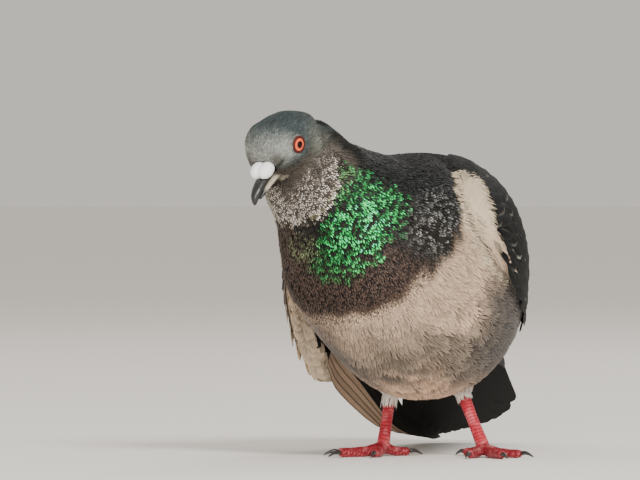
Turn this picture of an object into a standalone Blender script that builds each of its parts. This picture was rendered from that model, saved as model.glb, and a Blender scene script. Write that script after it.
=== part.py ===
# A rock pigeon standing with its neck drawn in and turned to its right, at life size.
# The bird faces -Y, +X is its left side and +Z is up. The soles are at Z = 0.
# The tables hold millimetres and degrees. Everything that is built is in metres.
import math

import bmesh
import bpy
import numpy as np
from mathutils import Matrix, Vector

MM = 0.001
HOLLOW_DEPTH = 26.0  # how far out a wing's hollow clears the flesh
GAP = 0.0003  # clearance between neighbouring solids
SWELL = 0.0004  # how far a cutter stands off the piece that it makes room for

# ---- driving sizes --------------------------------------------------------------------------
HEAD_CENTRE = (-45.0, -97.0, 139.2)
HEAD_YAW = 21.0  # towards the bird's right
HEAD_PITCH = 42.0  # bill down
EYE_RADIUS = 4.8
EYE_PLACE = (2.6, 9.9, 2.8)  # forward, sideways, up from the head's centre
BODY_RING_SIDES = 32
FULLNESS = 0.86  # under 1 squares the lower half of every ring
RIGHT_FULLNESS = 1.11  # the breast and belly are flatter above the drooping right wing
BODY_VOXEL = 2.2
BODY_SMOOTHING = 10
BODY_TRIANGLES = 1300

# Body stations from rump to head: the spine's place, the way it points, and the reach each way.
#            name           x      y      z    pitch  yaw   wide    up   down
BODY = (
    ("tail_root",          -8.0,  70.0,  50.0,  28.0, -8.0,  10.0,   5.0,   5.0),
    ("vent",               -5.0,  58.0,  56.0,  28.0, -6.0,  18.0,  12.0,  13.0),
    ("rump",               -3.0,  40.0,  65.0,  28.0, -4.0,  29.0,  26.0,  28.0),
    ("loin",                0.0,  18.0,  73.0,  26.0,  0.0,  39.0,  42.0,  47.0),
    ("belly",               0.5,  -6.0,  78.0,  24.0,  3.0,  45.5,  55.0,  57.5),
    ("breast",             -2.5, -28.0,  83.5,  28.0,  8.0,  47.5,  58.0,  56.5),
    ("crop",               -8.5, -46.0,  92.0,  34.0, 15.0,  46.5,  53.0,  48.0),
    ("neck_base",         -16.0, -60.0, 103.0,  42.0, 24.0,  40.5,  43.0,  37.0),
    ("neck_middle",       -25.0, -71.0, 116.0,  50.0, 30.0,  31.0,  29.5,  26.0),
    ("neck_top",          -34.5, -80.0, 128.0,  50.0, 33.0,  24.5,  22.0,  22.0),
    ("nape",               -39.0, -87.0, 136.0,  34.0, 28.0,  19.5,  20.3,  16.0),
)

# Head stations from the occiput to the bill, along the head's own axis.
#      forward  rise   wide    up   down
HEAD = (
    (-19.0,  -1.0,   6.0,   5.4,   5.0),
    (-15.0,  -0.8,  11.4,   8.8,  10.0),
    (-8.5,   -0.5,  14.2,  10.2,  12.5),
    (-1.0,   -0.3,  14.6,  11.2,  13.2),
    (5.0,     0.0,  14.2,  12.9,  12.0),
    (10.0,    0.0,  12.2,  12.9,  10.0),
    (13.6,   -0.3,   8.8,  10.0,   7.6),
    (16.4,   -1.5,   5.4,   5.2,   4.8),
)

# Wing sections, each across the body at one distance behind the bird's middle: the place of the
# upper edge, of the middle and of the lower edge, and the thickness.
#      y      top x, z        middle x, z     low x, z       thick
WING_LEFT = (
    (-56.0,  33.0, 111.0,  37.0, 106.0,  39.5, 100.0,  2.0),
    (-47.0,  27.0, 124.0,  39.5, 109.0,  44.5,  88.0,  3.4),
    (-25.0,  17.0, 132.0,  41.0, 112.0,  46.5,  76.0,  4.6),
    (0.0,    14.0, 132.0,  38.5, 107.0,  42.5,  67.0,  4.6),
    (28.0,   13.0, 119.0,  33.5,  95.0,  32.5,  61.0,  3.8),
    (55.0,   12.0,  97.0,  25.5,  77.0,  24.5,  55.0,  2.6),
    (76.0,   10.5,  75.0,  16.5,  63.0,  16.5,  50.5,  1.8),
    (90.0,   11.0,  60.0,  12.8,  54.5,  13.5,  48.5,  1.4),
    (98.0,   11.5,  52.0,  12.2,  50.0,  12.6,  47.5,  1.1),
)
WING_RIGHT = (
    (-56.0, -45.0, 109.0, -50.5, 101.0, -52.5,  94.0,  2.0),
    (-47.0, -37.0, 121.0, -51.5, 106.0, -54.5,  84.0,  3.4),
    (-25.0, -27.0, 130.5, -52.5, 106.0, -60.0,  70.0,  4.4),
    (0.0,   -22.0, 128.0, -52.0,  96.0, -63.0,  52.0,  4.2),
    (22.0,  -21.0, 116.0, -49.0,  80.0, -62.5,  39.0,  3.2),
    (40.0,  -21.0, 102.0, -45.0,  68.0, -60.0,  33.0,  2.4),
    (60.0,  -23.0,  82.0, -39.0,  57.0, -51.0,  36.0,  1.8),
    (76.0,  -26.0,  63.0, -35.0,  49.5, -43.5,  37.0,  1.5),
    (89.0,  -31.0,  48.0, -34.0,  43.5, -38.0,  38.5,  1.3),
    (95.0,  -33.0,  44.0, -34.0,  42.5, -35.0,  41.0,  1.1),
)
# The bundles of primaries, from under the plate to the tip.
PRIMARIES_LEFT = (
    (38.0,   29.0,  64.0,  29.6,  58.5,  28.6,  54.0,  1.5),
    (58.0,   22.0,  60.0,  22.6,  54.0,  21.0,  48.5,  1.7),
    (82.0,   11.5,  51.0,  13.4,  46.0,  13.2,  41.0,  1.7),
    (98.0,    8.8,  45.5,  11.4,  41.6,  11.8,  38.0,  1.5),
    (114.0,   5.0,  39.0,   7.4,  35.8,   8.2,  32.8,  1.3),
    (132.0,   4.0,  29.0,   7.0,  26.5,   8.5,  24.0,  1.0),
    (141.0,   6.5,  26.0,   8.0,  25.0,   8.6,  24.0,  0.8),
)
PRIMARIES_RIGHT = (
    (32.0,  -50.0,  54.0, -52.5,  47.0, -54.5,  37.0,  1.6),
    (42.0,  -48.0,  52.0, -51.5,  42.0, -53.8,  30.0,  1.7),
    (60.0,  -42.0,  42.0, -47.5,  33.0, -51.5,  22.5,  1.8),
    (80.0,  -37.0,  25.0, -41.5,  20.0, -45.8,  13.5,  1.7),
    (96.0,  -33.5,  14.5, -37.0,  11.0, -40.5,   6.5,  1.5),
    (112.0, -28.0,   8.0, -31.0,   6.0, -34.0,   3.4,  1.3),
    (128.0, -26.0,   4.6, -28.0,   3.8, -30.0,   2.8,  1.0),
    (137.0, -27.0,   3.2, -27.5,   3.0, -28.0,   2.7,  0.8),
)
COVERT_EDGE = 20.0  # where the coverts end and the secondaries begin

TAIL_BASE = (-5.5, 50.0, 59.0)
TAIL_LENGTH = 110.0
TAIL_PITCH = 29.3
TAIL_YAW = 7.5  # towards the bird's right
TAIL_ROLL = 16.0  # its left side up
TAIL_HALF_WIDTH = (16.0, 27.0)  # at the root and near the tips
TAIL_THICK = 1.6
TAIL_CAMBER = 2.5
TAIL_FEATHERS = 12
SCALLOP = 2.2  # how far the notches between the feather tips go in
TAIL_LAP = 0.12

# Feet: the middle of the foot, the ankle's place and each toe's heading from straight ahead.
FEET = {
    "right": {
        "middle": (-17.8, -16.0, 4.2),
        "hock": (-16.4, -6.0, 31.0),
        "knee": (-16.0, -14.0, 50.0),
        "toe_out": -35.0,
    },
    "left": {
        "middle": (28.0, -16.0, 4.2),
        "hock": (15.6, -7.0, 31.0),
        "knee": (15.0, -14.0, 50.0),
        "toe_out": 32.0,
    },
}
SHANK_RADIUS = 2.4
#         name      turn   length radius  claw
TOES = (
    ("hind",   202.0,  12.0,   2.1,   6.5),
    ("inner",  -37.0,  19.0,   2.1,   6.5),
    ("middle",   0.0,  25.0,   2.3,   7.5),
    ("outer",   38.0,  20.0,   2.0,   6.5),
)
# Along a toe: the share of its length, the axis's height, and the share of its radius.
TOE_SHAPE = (
    (0.0, 4.2, 1.25),
    (0.22, 3.0, 1.08),
    (0.42, 2.3, 0.92),
    (0.55, 2.0, 1.0),
    (0.72, 1.9, 0.86),
    (0.88, 1.8, 0.92),
    (1.0, 2.0, 0.72),
)
ANKLE_CUT = 5.5  # how high over the middle of the foot the tarsus begins
THIGH_RADII = (15.0, 11.0, 7.0, 4.2)

CERE_LOBE = (17.2, 2.0, 0.4)
CERE_RADII = (4.8, 3.5, 3.1)
# Bill stations in the head's frame.
#      forward  rise  wide   up   down
BILL_UPPER = (
    (11.5, -2.6, 4.2, 3.0, 1.5),
    (16.0, -2.7, 3.6, 2.8, 1.6),
    (21.0, -3.1, 3.0, 2.4, 1.5),
    (26.0, -3.7, 2.6, 2.2, 1.5),
    (29.8, -4.9, 1.8, 1.9, 1.6),
    (31.6, -6.4, 0.8, 1.1, 1.2),
)
BILL_LOWER = (
    (11.0, -5.6, 4.5, 1.2, 2.0),
    (16.0, -5.8, 3.6, 1.1, 1.8),
    (20.5, -6.1, 2.7, 1.1, 1.6),
    (24.5, -6.6, 1.9, 1.0, 1.2),
    (27.0, -7.2, 1.0, 0.5, 0.8),
)

# Plane cuts that part the flesh, from the bill backwards: a place, and the way ahead of the cut.
CUTS = (
    ("head", (-38.0, -86.0, 136.0), (-0.40, -0.62, 0.68)),
    ("neck", (-18.0, -55.0, 104.0), (-0.25, -0.55, 0.75)),
    ("breast", (-4.0, -32.0, 84.0), (-0.05, -0.95, 0.0)),
    ("back", (-2.0, 10.0, 90.0), (0.0, 0.42, 0.90)),
)
VENT_CUT = (-4.0, 35.0, 64.0)
VENT_CUT_WAY = (0.0, -0.90, -0.45)


# ---- placing ----------------------------------------------------------------------------------
def vec(values):
    return Vector(values) * MM


def heading(yaw, pitch):
    """The direction that points ahead, turned by yaw to the bird's right and raised by pitch."""
    yaw, pitch = math.radians(yaw), math.radians(pitch)
    ahead = math.cos(pitch)
    return Vector((-math.sin(yaw) * ahead, -math.cos(yaw) * ahead, math.sin(pitch)))


def side_of(yaw):
    """The bird's left for something that is turned by yaw."""
    yaw = math.radians(yaw)
    return Vector((math.cos(yaw), -math.sin(yaw), 0.0))


def frame_matrix(place, ahead, left):
    """A matrix from forward, left and up to the world."""
    up = ahead.cross(left)
    return Matrix.Translation(place) @ Matrix((ahead, left, up)).transposed().to_4x4()


HEAD_FRAME = frame_matrix(vec(HEAD_CENTRE), heading(HEAD_YAW, -HEAD_PITCH), side_of(HEAD_YAW))


def in_head(forward, left, up):
    return HEAD_FRAME @ vec((forward, left, up))


def smoothed(rows, count):
    """Catmull-Rom rows between the given rows, with the end rows kept."""
    rows = np.array(rows, float)
    first, last = 2 * rows[0] - rows[1], 2 * rows[-1] - rows[-2]
    padded = np.vstack((first, rows, last))
    found = []
    for place in np.linspace(0, len(rows) - 1, count):
        i = min(int(place), len(rows) - 2)
        t = place - i
        a, b, c, d = padded[i : i + 4]
        found.append(
            b + 0.5 * t * (c - a + t * (2 * a - 5 * b + 4 * c - d + t * (3 * (b - c) + d - a)))
        )
    return found


# ---- making meshes ----------------------------------------------------------------------------
def new_object(name, mesh, hidden=False):
    thing = bpy.data.objects.new(name, mesh)
    (CUTTERS if hidden else PARTS).objects.link(thing)
    if hidden:
        thing.hide_render = True
        thing.display_type = "WIRE"
    return thing


def mesh_of(name, bm):
    bmesh.ops.recalc_face_normals(bm, faces=bm.faces)
    mesh = bpy.data.meshes.new(name)
    bm.to_mesh(mesh)
    bm.free()
    return mesh


def loft(rings):
    """A closed bmesh through rings of equal count, with a flat cap at each end."""
    bm = bmesh.new()
    loops = [[bm.verts.new(point) for point in ring] for ring in rings]
    count = len(rings[0])
    for near, far in zip(loops, loops[1:]):
        for i in range(count):
            j = (i + 1) % count
            bm.faces.new((near[i], near[j], far[j], far[i]))
    bm.faces.new(loops[0])
    bm.faces.new(loops[-1])
    return bm


def ring(centre, left, up, wide, above, below, right_fullness=FULLNESS, sides=BODY_RING_SIDES):
    """An egg-shaped ring: its upper half is as high as above, and its lower half as deep as below.
    Its lower corners are fuller than an ellipse's."""
    points = []
    for i in range(sides):
        angle = math.tau * i / sides
        across, height = math.cos(angle), math.sin(angle)
        if height < 0:
            fullness = FULLNESS if across > 0 else right_fullness
            across = math.copysign(abs(across) ** fullness, across)
            height = -(abs(height) ** fullness)
        reach = above if height > 0 else below
        points.append(centre + left * (wide * across) + up * (reach * height))
    return points


def plate(sheet_out, sheet_in):
    """A closed bmesh between two grids of points that have the same rows and columns."""
    bm = bmesh.new()
    grids = [[[bm.verts.new(p) for p in row] for row in sheet] for sheet in (sheet_out, sheet_in)]
    rows, columns = len(sheet_out), len(sheet_out[0])
    for grid in grids:
        for r in range(rows - 1):
            for c in range(columns - 1):
                bm.faces.new((grid[r][c], grid[r][c + 1], grid[r + 1][c + 1], grid[r + 1][c]))
    out, inner = grids
    rim = [(r, 0) for r in range(rows)] + [(rows - 1, c) for c in range(1, columns)]
    rim += [(r, columns - 1) for r in range(rows - 2, -1, -1)]
    rim += [(0, c) for c in range(columns - 2, 0, -1)]
    for (r0, c0), (r1, c1) in zip(rim, rim[1:] + rim[:1]):
        bm.faces.new((out[r0][c0], out[r1][c1], inner[r1][c1], inner[r0][c0]))
    return bm


def evaluated_mesh(thing, name):
    """The mesh that the modifiers make, in world space."""
    graph = bpy.context.evaluated_depsgraph_get()
    mesh = bpy.data.meshes.new_from_object(thing.evaluated_get(graph))
    mesh.transform(thing.matrix_world)
    mesh.name = name
    return mesh


def settle(thing):
    """Applies the modifiers of a part."""
    mesh = evaluated_mesh(thing, thing.name)
    old = thing.data
    thing.modifiers.clear()
    thing.data = mesh
    bpy.data.meshes.remove(old)
    return thing


def combine(thing, other, operation):
    boolean = thing.modifiers.new(operation.title(), "BOOLEAN")
    boolean.object = other
    boolean.operation = operation
    boolean.solver = "EXACT"
    settle(thing)


def join(thing, other):
    combine(thing, other, "UNION")
    bpy.data.objects.remove(other)


def cut(thing, cutter, last=True):
    """Takes the cutter's room out of a part, and the cutter away after its last use."""
    combine(thing, cutter, "DIFFERENCE")
    keep_largest(thing.data)
    if last:
        bpy.data.objects.remove(cutter)


def halved(mesh, name, place, normal):
    """The part of a closed mesh on the side that normal points to, closed with a flat cap."""
    bm = bmesh.new()
    bm.from_mesh(mesh)
    bmesh.ops.bisect_plane(
        bm,
        geom=bm.verts[:] + bm.edges[:] + bm.faces[:],
        dist=1e-7,
        plane_co=place,
        plane_no=normal,
        clear_inner=True,
    )
    rim = [edge for edge in bm.edges if edge.is_boundary]
    if rim:
        bmesh.ops.holes_fill(bm, edges=rim, sides=0)
    return mesh_of(name, bm)


def keep_largest(mesh):
    """Drops the offcuts that a cutter leaves, so that one closed body is left."""
    bm = bmesh.new()
    bm.from_mesh(mesh)
    left = set(bm.verts)
    groups = []
    while left:
        stack = [left.pop()]
        group = list(stack)
        while stack:
            for edge in stack.pop().link_edges:
                for vert in edge.verts:
                    if vert in left:
                        left.discard(vert)
                        group.append(vert)
                        stack.append(vert)
        groups.append(group)
    groups.sort(key=len)
    for group in groups[:-1]:
        bmesh.ops.delete(bm, geom=group, context="VERTS")
    bm.to_mesh(mesh)
    bm.free()
    return mesh


def split(mesh, names, place, normal):
    """Both parts of a mesh that is cut by a plane, with the clearance left between them."""
    normal = Vector(normal).normalized()
    ahead = halved(mesh, names[0], place + normal * GAP / 2, normal)
    behind = halved(mesh, names[1], place - normal * GAP / 2, -normal)
    bpy.data.meshes.remove(mesh)
    return keep_largest(ahead), keep_largest(behind)


def ball(name, place, radii, turn=None, segments=20, rings=12, hidden=False):
    bm = bmesh.new()
    bmesh.ops.create_uvsphere(bm, u_segments=segments, v_segments=rings, radius=1.0)
    scale = Matrix.Diagonal((*(r * MM for r in radii), 1.0))
    turned = (turn or Matrix.Identity(3)).to_4x4()
    bmesh.ops.transform(bm, matrix=Matrix.Translation(place) @ turned @ scale, verts=bm.verts)
    return new_object(name, mesh_of(name, bm), hidden)


def tapered(name, points, radii, hidden=False, sides_level=2):
    """A round limb: a curve with a radius at each point, made a mesh with welded caps."""
    curve = bpy.data.curves.new(name, "CURVE")
    curve.dimensions = "3D"
    curve.bevel_depth = 1.0
    curve.bevel_resolution = sides_level
    curve.use_fill_caps = True
    spline = curve.splines.new("POLY")
    spline.points.add(len(points) - 1)
    for spot, place, radius in zip(spline.points, points, radii):
        spot.co = (*place, 1.0)
        spot.radius = radius
    guide = new_object(name + "_curve", curve, hidden=True)
    bpy.context.view_layer.update()
    mesh = evaluated_mesh(guide, name)
    bpy.data.objects.remove(guide)
    bm = bmesh.new()
    bm.from_mesh(mesh)
    bmesh.ops.remove_doubles(bm, verts=bm.verts, dist=1e-6)
    bpy.data.meshes.remove(mesh)
    return new_object(name, mesh_of(name, bm), hidden)


# ---- finishes -----------------------------------------------------------------------------------
def finish(thing, colour, roughness=0.8):
    name = "_".join(f"{c:.2f}" for c in colour)
    material = bpy.data.materials.get(name) or bpy.data.materials.new(name)
    material.use_nodes = True
    shader = material.node_tree.nodes["Principled BSDF"]
    shader.inputs["Base Color"].default_value = (*colour, 1.0)
    shader.inputs["Roughness"].default_value = roughness
    shader.inputs["Metallic"].default_value = 0.0
    thing.data.materials.clear()
    thing.data.materials.append(material)
    thing.data.shade_smooth()
    thing.data.set_sharp_from_angle(angle=math.radians(50))
    thing.parent = ROOT


SLATE = (0.16, 0.18, 0.20)
GREEN = (0.05, 0.22, 0.12)
PALE = (0.42, 0.39, 0.36)
DARK = (0.05, 0.055, 0.06)
RED = (0.55, 0.07, 0.07)
HORN = (0.03, 0.03, 0.03)
WHITE = (0.85, 0.83, 0.80)
ORANGE = (0.75, 0.20, 0.06)


# ---- the body -----------------------------------------------------------------------------------
def body_rings():
    rings = []
    for x, y, z, pitch, yaw, wide, up, down in smoothed([row[1:] for row in BODY], 34):
        ahead, left = heading(yaw, pitch), side_of(yaw)
        fullness = FULLNESS + (RIGHT_FULLNESS - FULLNESS) * min(max((down - 42) / 12, 0), 1)
        rings.append(ring(vec((x, y, z)), left, ahead.cross(left), wide * MM, up * MM, down * MM, fullness))
    return rings


def head_rings():
    left, up = side_of(HEAD_YAW), HEAD_FRAME.to_3x3() @ Vector((0, 0, 1))
    rings = []
    for forward, rise, wide, above, below in smoothed(HEAD, 22):
        centre = in_head(forward, 0, rise)
        rings.append(ring(centre, left, up, wide * MM, above * MM, below * MM))
    return rings


def make_flesh():
    """Trunk, neck and head as one skin, so that no crease shows where they meet."""
    bm = loft(body_rings())
    bodies = [mesh_of("trunk_form", bm), mesh_of("head_form", loft(head_rings()))]
    together = bmesh.new()
    for form in bodies:
        together.from_mesh(form)
        bpy.data.meshes.remove(form)
    flesh = new_object("flesh", mesh_of("flesh", together), hidden=True)
    remesh = flesh.modifiers.new("Remesh", "REMESH")
    remesh.mode = "VOXEL"
    remesh.voxel_size = BODY_VOXEL * MM
    smooth = flesh.modifiers.new("Smooth", "SMOOTH")
    smooth.factor = 0.5
    smooth.iterations = BODY_SMOOTHING
    settle(flesh)
    triangles = sum(len(face.vertices) - 2 for face in flesh.data.polygons)
    decimate = flesh.modifiers.new("Decimate", "DECIMATE")
    decimate.ratio = BODY_TRIANGLES / triangles
    return settle(flesh)


# ---- wings ------------------------------------------------------------------------------------
def sheet(rows, columns, outward, thick_share, margin=0.0):
    """A grid of points over a wing: one row for each section, from its upper to its lower edge.
    The points stand off the middle surface by outward and by a share of the thickness."""
    grid = []
    for y, top_x, top_z, mid_x, mid_z, low_x, low_z, thick in rows:
        top, mid, low = (Vector((x, y, z)) * MM for x, z in ((top_x, top_z), (mid_x, mid_z), (low_x, low_z)))
        extra = margin / (low - top).length
        line = []
        for c in range(columns):
            t = (1 + 2 * extra) * c / (columns - 1) - extra
            spot = top * (2 * (t - 0.5) * (t - 1)) + mid * (4 * t * (1 - t)) + low * (2 * t * (t - 0.5))
            along = top * (4 * t - 3) + mid * (4 - 8 * t) + low * (4 * t - 1)
            away = Vector((-along.z, 0.0, along.x)).normalized()
            if away.x * mid_x < 0:
                away = -away
            share = abs(2 * c / (columns - 1) - 1)
            profile = 0.35 + 0.65 * math.sqrt(1 - share * share)
            line.append(spot + away * (outward + thick_share * thick * MM * profile))
        grid.append(line)
    return grid


def wing_plate(name, rows, count, columns, hidden=False, out=0.0, inward=0.0, margin=0.0):
    sections = smoothed(rows, count)
    outer = sheet(sections, columns, out, 0.5, margin)
    inner = sheet(sections, columns, -inward, -0.5, margin)
    for end, step in ((0, -margin), (-1, margin)):
        for grid in (outer, inner):
            for spot in grid[end]:
                spot.y += step
    return new_object(name, mesh_of(name, plate(outer, inner)), hidden)


def make_wing(side, rows, primary_rows, flesh):
    """A wing as a thin shell in a hollow of the flank, parted behind the coverts."""
    wing = wing_plate("wing_" + side, rows, 18, 9)
    blade = wing_plate("primaries_" + side, primary_rows, 14, 5)
    hollow = wing_plate("hollow", rows, 14, 9, True, HOLLOW_DEPTH * MM, 2 * GAP, 0.7 * MM)
    slot = wing_plate("slot", rows, 18, 9, True, SWELL, SWELL, 0.4 * MM)
    room = wing_plate("blade_room", primary_rows, 14, 5, True, 8 * MM, SWELL, 0.4 * MM)
    cut(blade, slot)
    cut(flesh, hollow)
    cut(flesh, room)
    names = ("coverts_" + side, "secondaries_" + side)
    ahead = Vector((0.0, -0.92, 0.38))
    for name, mesh in zip(names, split(wing.data.copy(), names, vec((0, COVERT_EDGE, 80)), ahead)):
        finish(new_object(name, mesh), SLATE)
    bpy.data.objects.remove(wing)
    finish(blade, DARK)


# ---- tail -------------------------------------------------------------------------------------
def tail_sheet(offset, feathers=0, margin=0.0):
    """The fan of tail feathers: rows from root to tips, columns from the bird's right to its left.
    With feathers the end is scalloped, and each one lies a little over the next."""
    roll = math.radians(TAIL_ROLL)
    back, side = -heading(-TAIL_YAW, TAIL_PITCH), side_of(-TAIL_YAW)
    up = side.cross(back)
    side, up = side * math.cos(roll) + up * math.sin(roll), up * math.cos(roll) - side * math.sin(roll)
    columns = feathers * 2 + 1 if feathers else 17
    grid = []
    for along in np.linspace(0, 1, 5):
        row = []
        for c in range(columns):
            share = 2 * c / (columns - 1) - 1
            half = TAIL_HALF_WIDTH[0] + (TAIL_HALF_WIDTH[1] - TAIL_HALF_WIDTH[0]) * along**1.3
            half = half * MM + margin
            rounded = 1 - 0.13 * share**2 - 0.12 * abs(share) ** 6
            notch = SCALLOP if feathers and c % 2 == 0 else 0.0
            length = (TAIL_LENGTH * rounded - notch * along**4) * MM * along
            lap = TAIL_LAP * MM * (1 if c % 2 else -1) if feathers else 0.0
            height = offset + lap - TAIL_CAMBER * MM * share**2 * (0.35 + 0.65 * along)
            row.append(vec(TAIL_BASE) + back * length + side * (half * share) + up * height)
        grid.append(row)
    return grid


def make_tail(flesh):
    thick = TAIL_THICK * MM / 2
    upper, lower = tail_sheet(thick, TAIL_FEATHERS), tail_sheet(-thick, TAIL_FEATHERS)
    tail = new_object("tail", mesh_of("tail", plate(upper, lower)))
    room = thick + 2 * SWELL
    slot_mesh = mesh_of("slot", plate(tail_sheet(room, 0, 2 * SWELL), tail_sheet(-room, 0, 2 * SWELL)))
    slot = new_object("tail_slot", slot_mesh, hidden=True)
    slot.location = heading(-TAIL_YAW, TAIL_PITCH) * SWELL
    bpy.context.view_layer.update()
    cut(flesh, slot)
    finish(tail, DARK)


# ---- head's own pieces ----------------------------------------------------------------------------
def beak(name, rows, count, hidden=False, swell=0.0):
    left, up = side_of(HEAD_YAW), HEAD_FRAME.to_3x3() @ Vector((0, 0, 1))
    rings = []
    for forward, rise, wide, above, below in smoothed(rows, count):
        centre = in_head(forward, 0, rise)
        grown = [r * MM + swell for r in (wide, above, below)]
        rings.append(ring(centre, left, up, *grown, sides=14))
    return new_object(name, mesh_of(name, loft(rings)), hidden)


def cere_lobes(swell=0.0):
    """The two swollen lobes over the root of the upper bill."""
    turn = HEAD_FRAME.to_3x3()
    radii = [r + swell / MM for r in CERE_RADII]
    lobes = []
    for side in (-1, 1):
        place = in_head(CERE_LOBE[0], side * CERE_LOBE[1], CERE_LOBE[2])
        lobes.append(ball("lobe", place, radii, turn, 12, 7, hidden=True))
    return lobes


def make_face(flesh):
    upper = beak("bill_upper", BILL_UPPER, 9)
    lower = beak("bill_lower", BILL_LOWER, 8)
    lobes = cere_lobes()
    join(*lobes)
    cere = new_object("cere", lobes[0].data.copy())
    bpy.data.objects.remove(lobes[0])
    cut(flesh, beak("upper_room", BILL_UPPER, 9, True, SWELL))
    cut(flesh, beak("lower_room", BILL_LOWER, 8, True, SWELL))
    for room in cere_lobes(SWELL):
        cut(flesh, room, last=False)
        cut(upper, room)
    turn = HEAD_FRAME.to_3x3()
    for side, sign in (("left", 1), ("right", -1)):
        place = in_head(EYE_PLACE[0], sign * EYE_PLACE[1], EYE_PLACE[2])
        eye = ball("eye_" + side, place, [EYE_RADIUS] * 3, turn, 16, 8)
        socket = ball("socket", place, [EYE_RADIUS + GAP / MM] * 3, turn, 14, 8, hidden=True)
        cut(flesh, socket)
        finish(eye, ORANGE, 0.2)
    finish(upper, HORN, 0.35)
    finish(lower, HORN, 0.35)
    finish(cere, WHITE, 0.7)


# ---- legs -------------------------------------------------------------------------------------
def toe_path(side, toe):
    """A toe's axis from inside the foot to its claw, and the way that it points."""
    name, turn, length, radius, claw = toe
    foot = FEET[side]
    angle = math.radians(foot["toe_out"] + (turn if side == "left" else -turn))
    way = Vector((math.sin(angle), -math.cos(angle), 0.0))
    middle = vec(foot["middle"])
    points, radii = [], []
    for share, height, swell in TOE_SHAPE:
        place = middle + way * (length * MM * share)
        place.z = height * MM
        points.append(place)
        radii.append(radius * swell * MM)
    points[0] = points[0] - way * (0.3 + length / 20) * MM
    return points, radii, way


def make_leg(side, flesh):
    foot = FEET[side]
    middle, hock = vec(foot["middle"]), vec(foot["hock"])
    down = (middle - hock).normalized()
    knee = vec(foot["knee"])
    thigh_points = [knee, knee.lerp(hock, 0.45), knee.lerp(hock, 0.8), hock + down * 4 * MM]
    thigh = tapered("thigh_" + side, thigh_points, [r * MM for r in THIGH_RADII], sides_level=4)
    room = tapered("thigh_room", thigh_points, [r * MM + SWELL for r in THIGH_RADII], True, 4)
    cut(flesh, room)
    shank_points = [hock - down * 2 * MM, hock, hock.lerp(middle, 0.5), middle + Vector((0, 0, 1 * MM))]
    shank_radii = [SHANK_RADIUS * s * MM for s in (1.1, 1.25, 1.0, 1.2)]
    leg = tapered("leg", shank_points, shank_radii, sides_level=2)
    room = tapered("shank_room", shank_points, [r + SWELL for r in shank_radii], True, 2)
    cut(thigh, room)
    pad = ball("pad", middle - Vector((0, 0, 0.3 * MM)), (3.4, 3.4, 3.1), None, 10, 6, hidden=True)
    join(leg, pad)
    for toe in TOES:
        points, radii, way = toe_path(side, toe)
        limb = tapered("toe", points, radii, True, 2)
        join(leg, limb)
        name = f"claw_{toe[0]}_{side}"
        claw_points = []
        for share, height in ((0.0, 2.1), (0.35, 2.5), (0.7, 1.7), (1.0, 0.5)):
            place = points[-1] + way * (GAP + toe[4] * MM * share)
            place.z = height * MM
            claw_points.append(place)
        claw = tapered(name, claw_points, [r * MM for r in (1.25, 1.05, 0.65, 0.25)], False, 1)
        finish(claw, HORN, 0.35)
    keep_largest(leg.data)
    soled = halved(leg.data, "leg_soled", Vector((0, 0, 0)), Vector((0, 0, 1)))
    place = middle + Vector((0, 0, ANKLE_CUT * MM))
    names = ("tarsus_" + side, "foot_" + side)
    for name, mesh in zip(names, split(soled, names, place, Vector((0, 0, 1)))):
        finish(new_object(name, mesh), RED, 0.6)
    bpy.data.objects.remove(leg)
    finish(thigh, PALE)


# ---- the bird ---------------------------------------------------------------------------------
def make_flesh_nodes(flesh):
    """Parts the flesh by plane cuts: head, neck, breast, back, belly and rump."""
    mesh = flesh.data.copy()
    rest = mesh
    for name, place, ahead in CUTS:
        normal = Vector(ahead).normalized()
        piece, rest = split(rest, (name, "rest"), vec(place), normal)
        finish(new_object(name, piece), GREEN if name == "neck" else SLATE)
    return rest


def make_bird():
    flesh = make_flesh()
    make_wing("left", WING_LEFT, PRIMARIES_LEFT, flesh)
    make_wing("right", WING_RIGHT, PRIMARIES_RIGHT, flesh)
    make_tail(flesh)
    make_face(flesh)
    for side in ("left", "right"):
        make_leg(side, flesh)
    rest = make_flesh_nodes(flesh)
    below, above = split(rest, ("belly", "rump"), vec(VENT_CUT), Vector(VENT_CUT_WAY))
    finish(new_object("belly", below), PALE)
    finish(new_object("rump", above), SLATE)
    bpy.data.objects.remove(flesh)


def bottom_middle():
    """The middle of the bottom of the box round all the parts."""
    corners = [v.co for thing in PARTS.objects if thing.type == "MESH" for v in thing.data.vertices]
    low = [min(corner[i] for corner in corners) for i in range(3)]
    high = [max(corner[i] for corner in corners) for i in range(3)]
    return Vector(((low[0] + high[0]) / 2, (low[1] + high[1]) / 2, low[2]))


for thing in list(bpy.data.objects):
    bpy.data.objects.remove(thing)
PARTS = bpy.data.collections.new("pigeon")
CUTTERS = bpy.data.collections.new("cutters")
bpy.context.scene.collection.children.link(PARTS)
bpy.context.scene.collection.children.link(CUTTERS)
ROOT = bpy.data.objects.new("pigeon_origin", None)
PARTS.objects.link(ROOT)
make_bird()
ROOT.location = -bottom_middle()
bpy.context.view_layer.update()
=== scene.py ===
import math

import bmesh
import bpy
import numpy as np
from mathutils import Matrix, Vector
from mathutils.bvhtree import BVHTree
from mathutils.kdtree import KDTree


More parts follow.
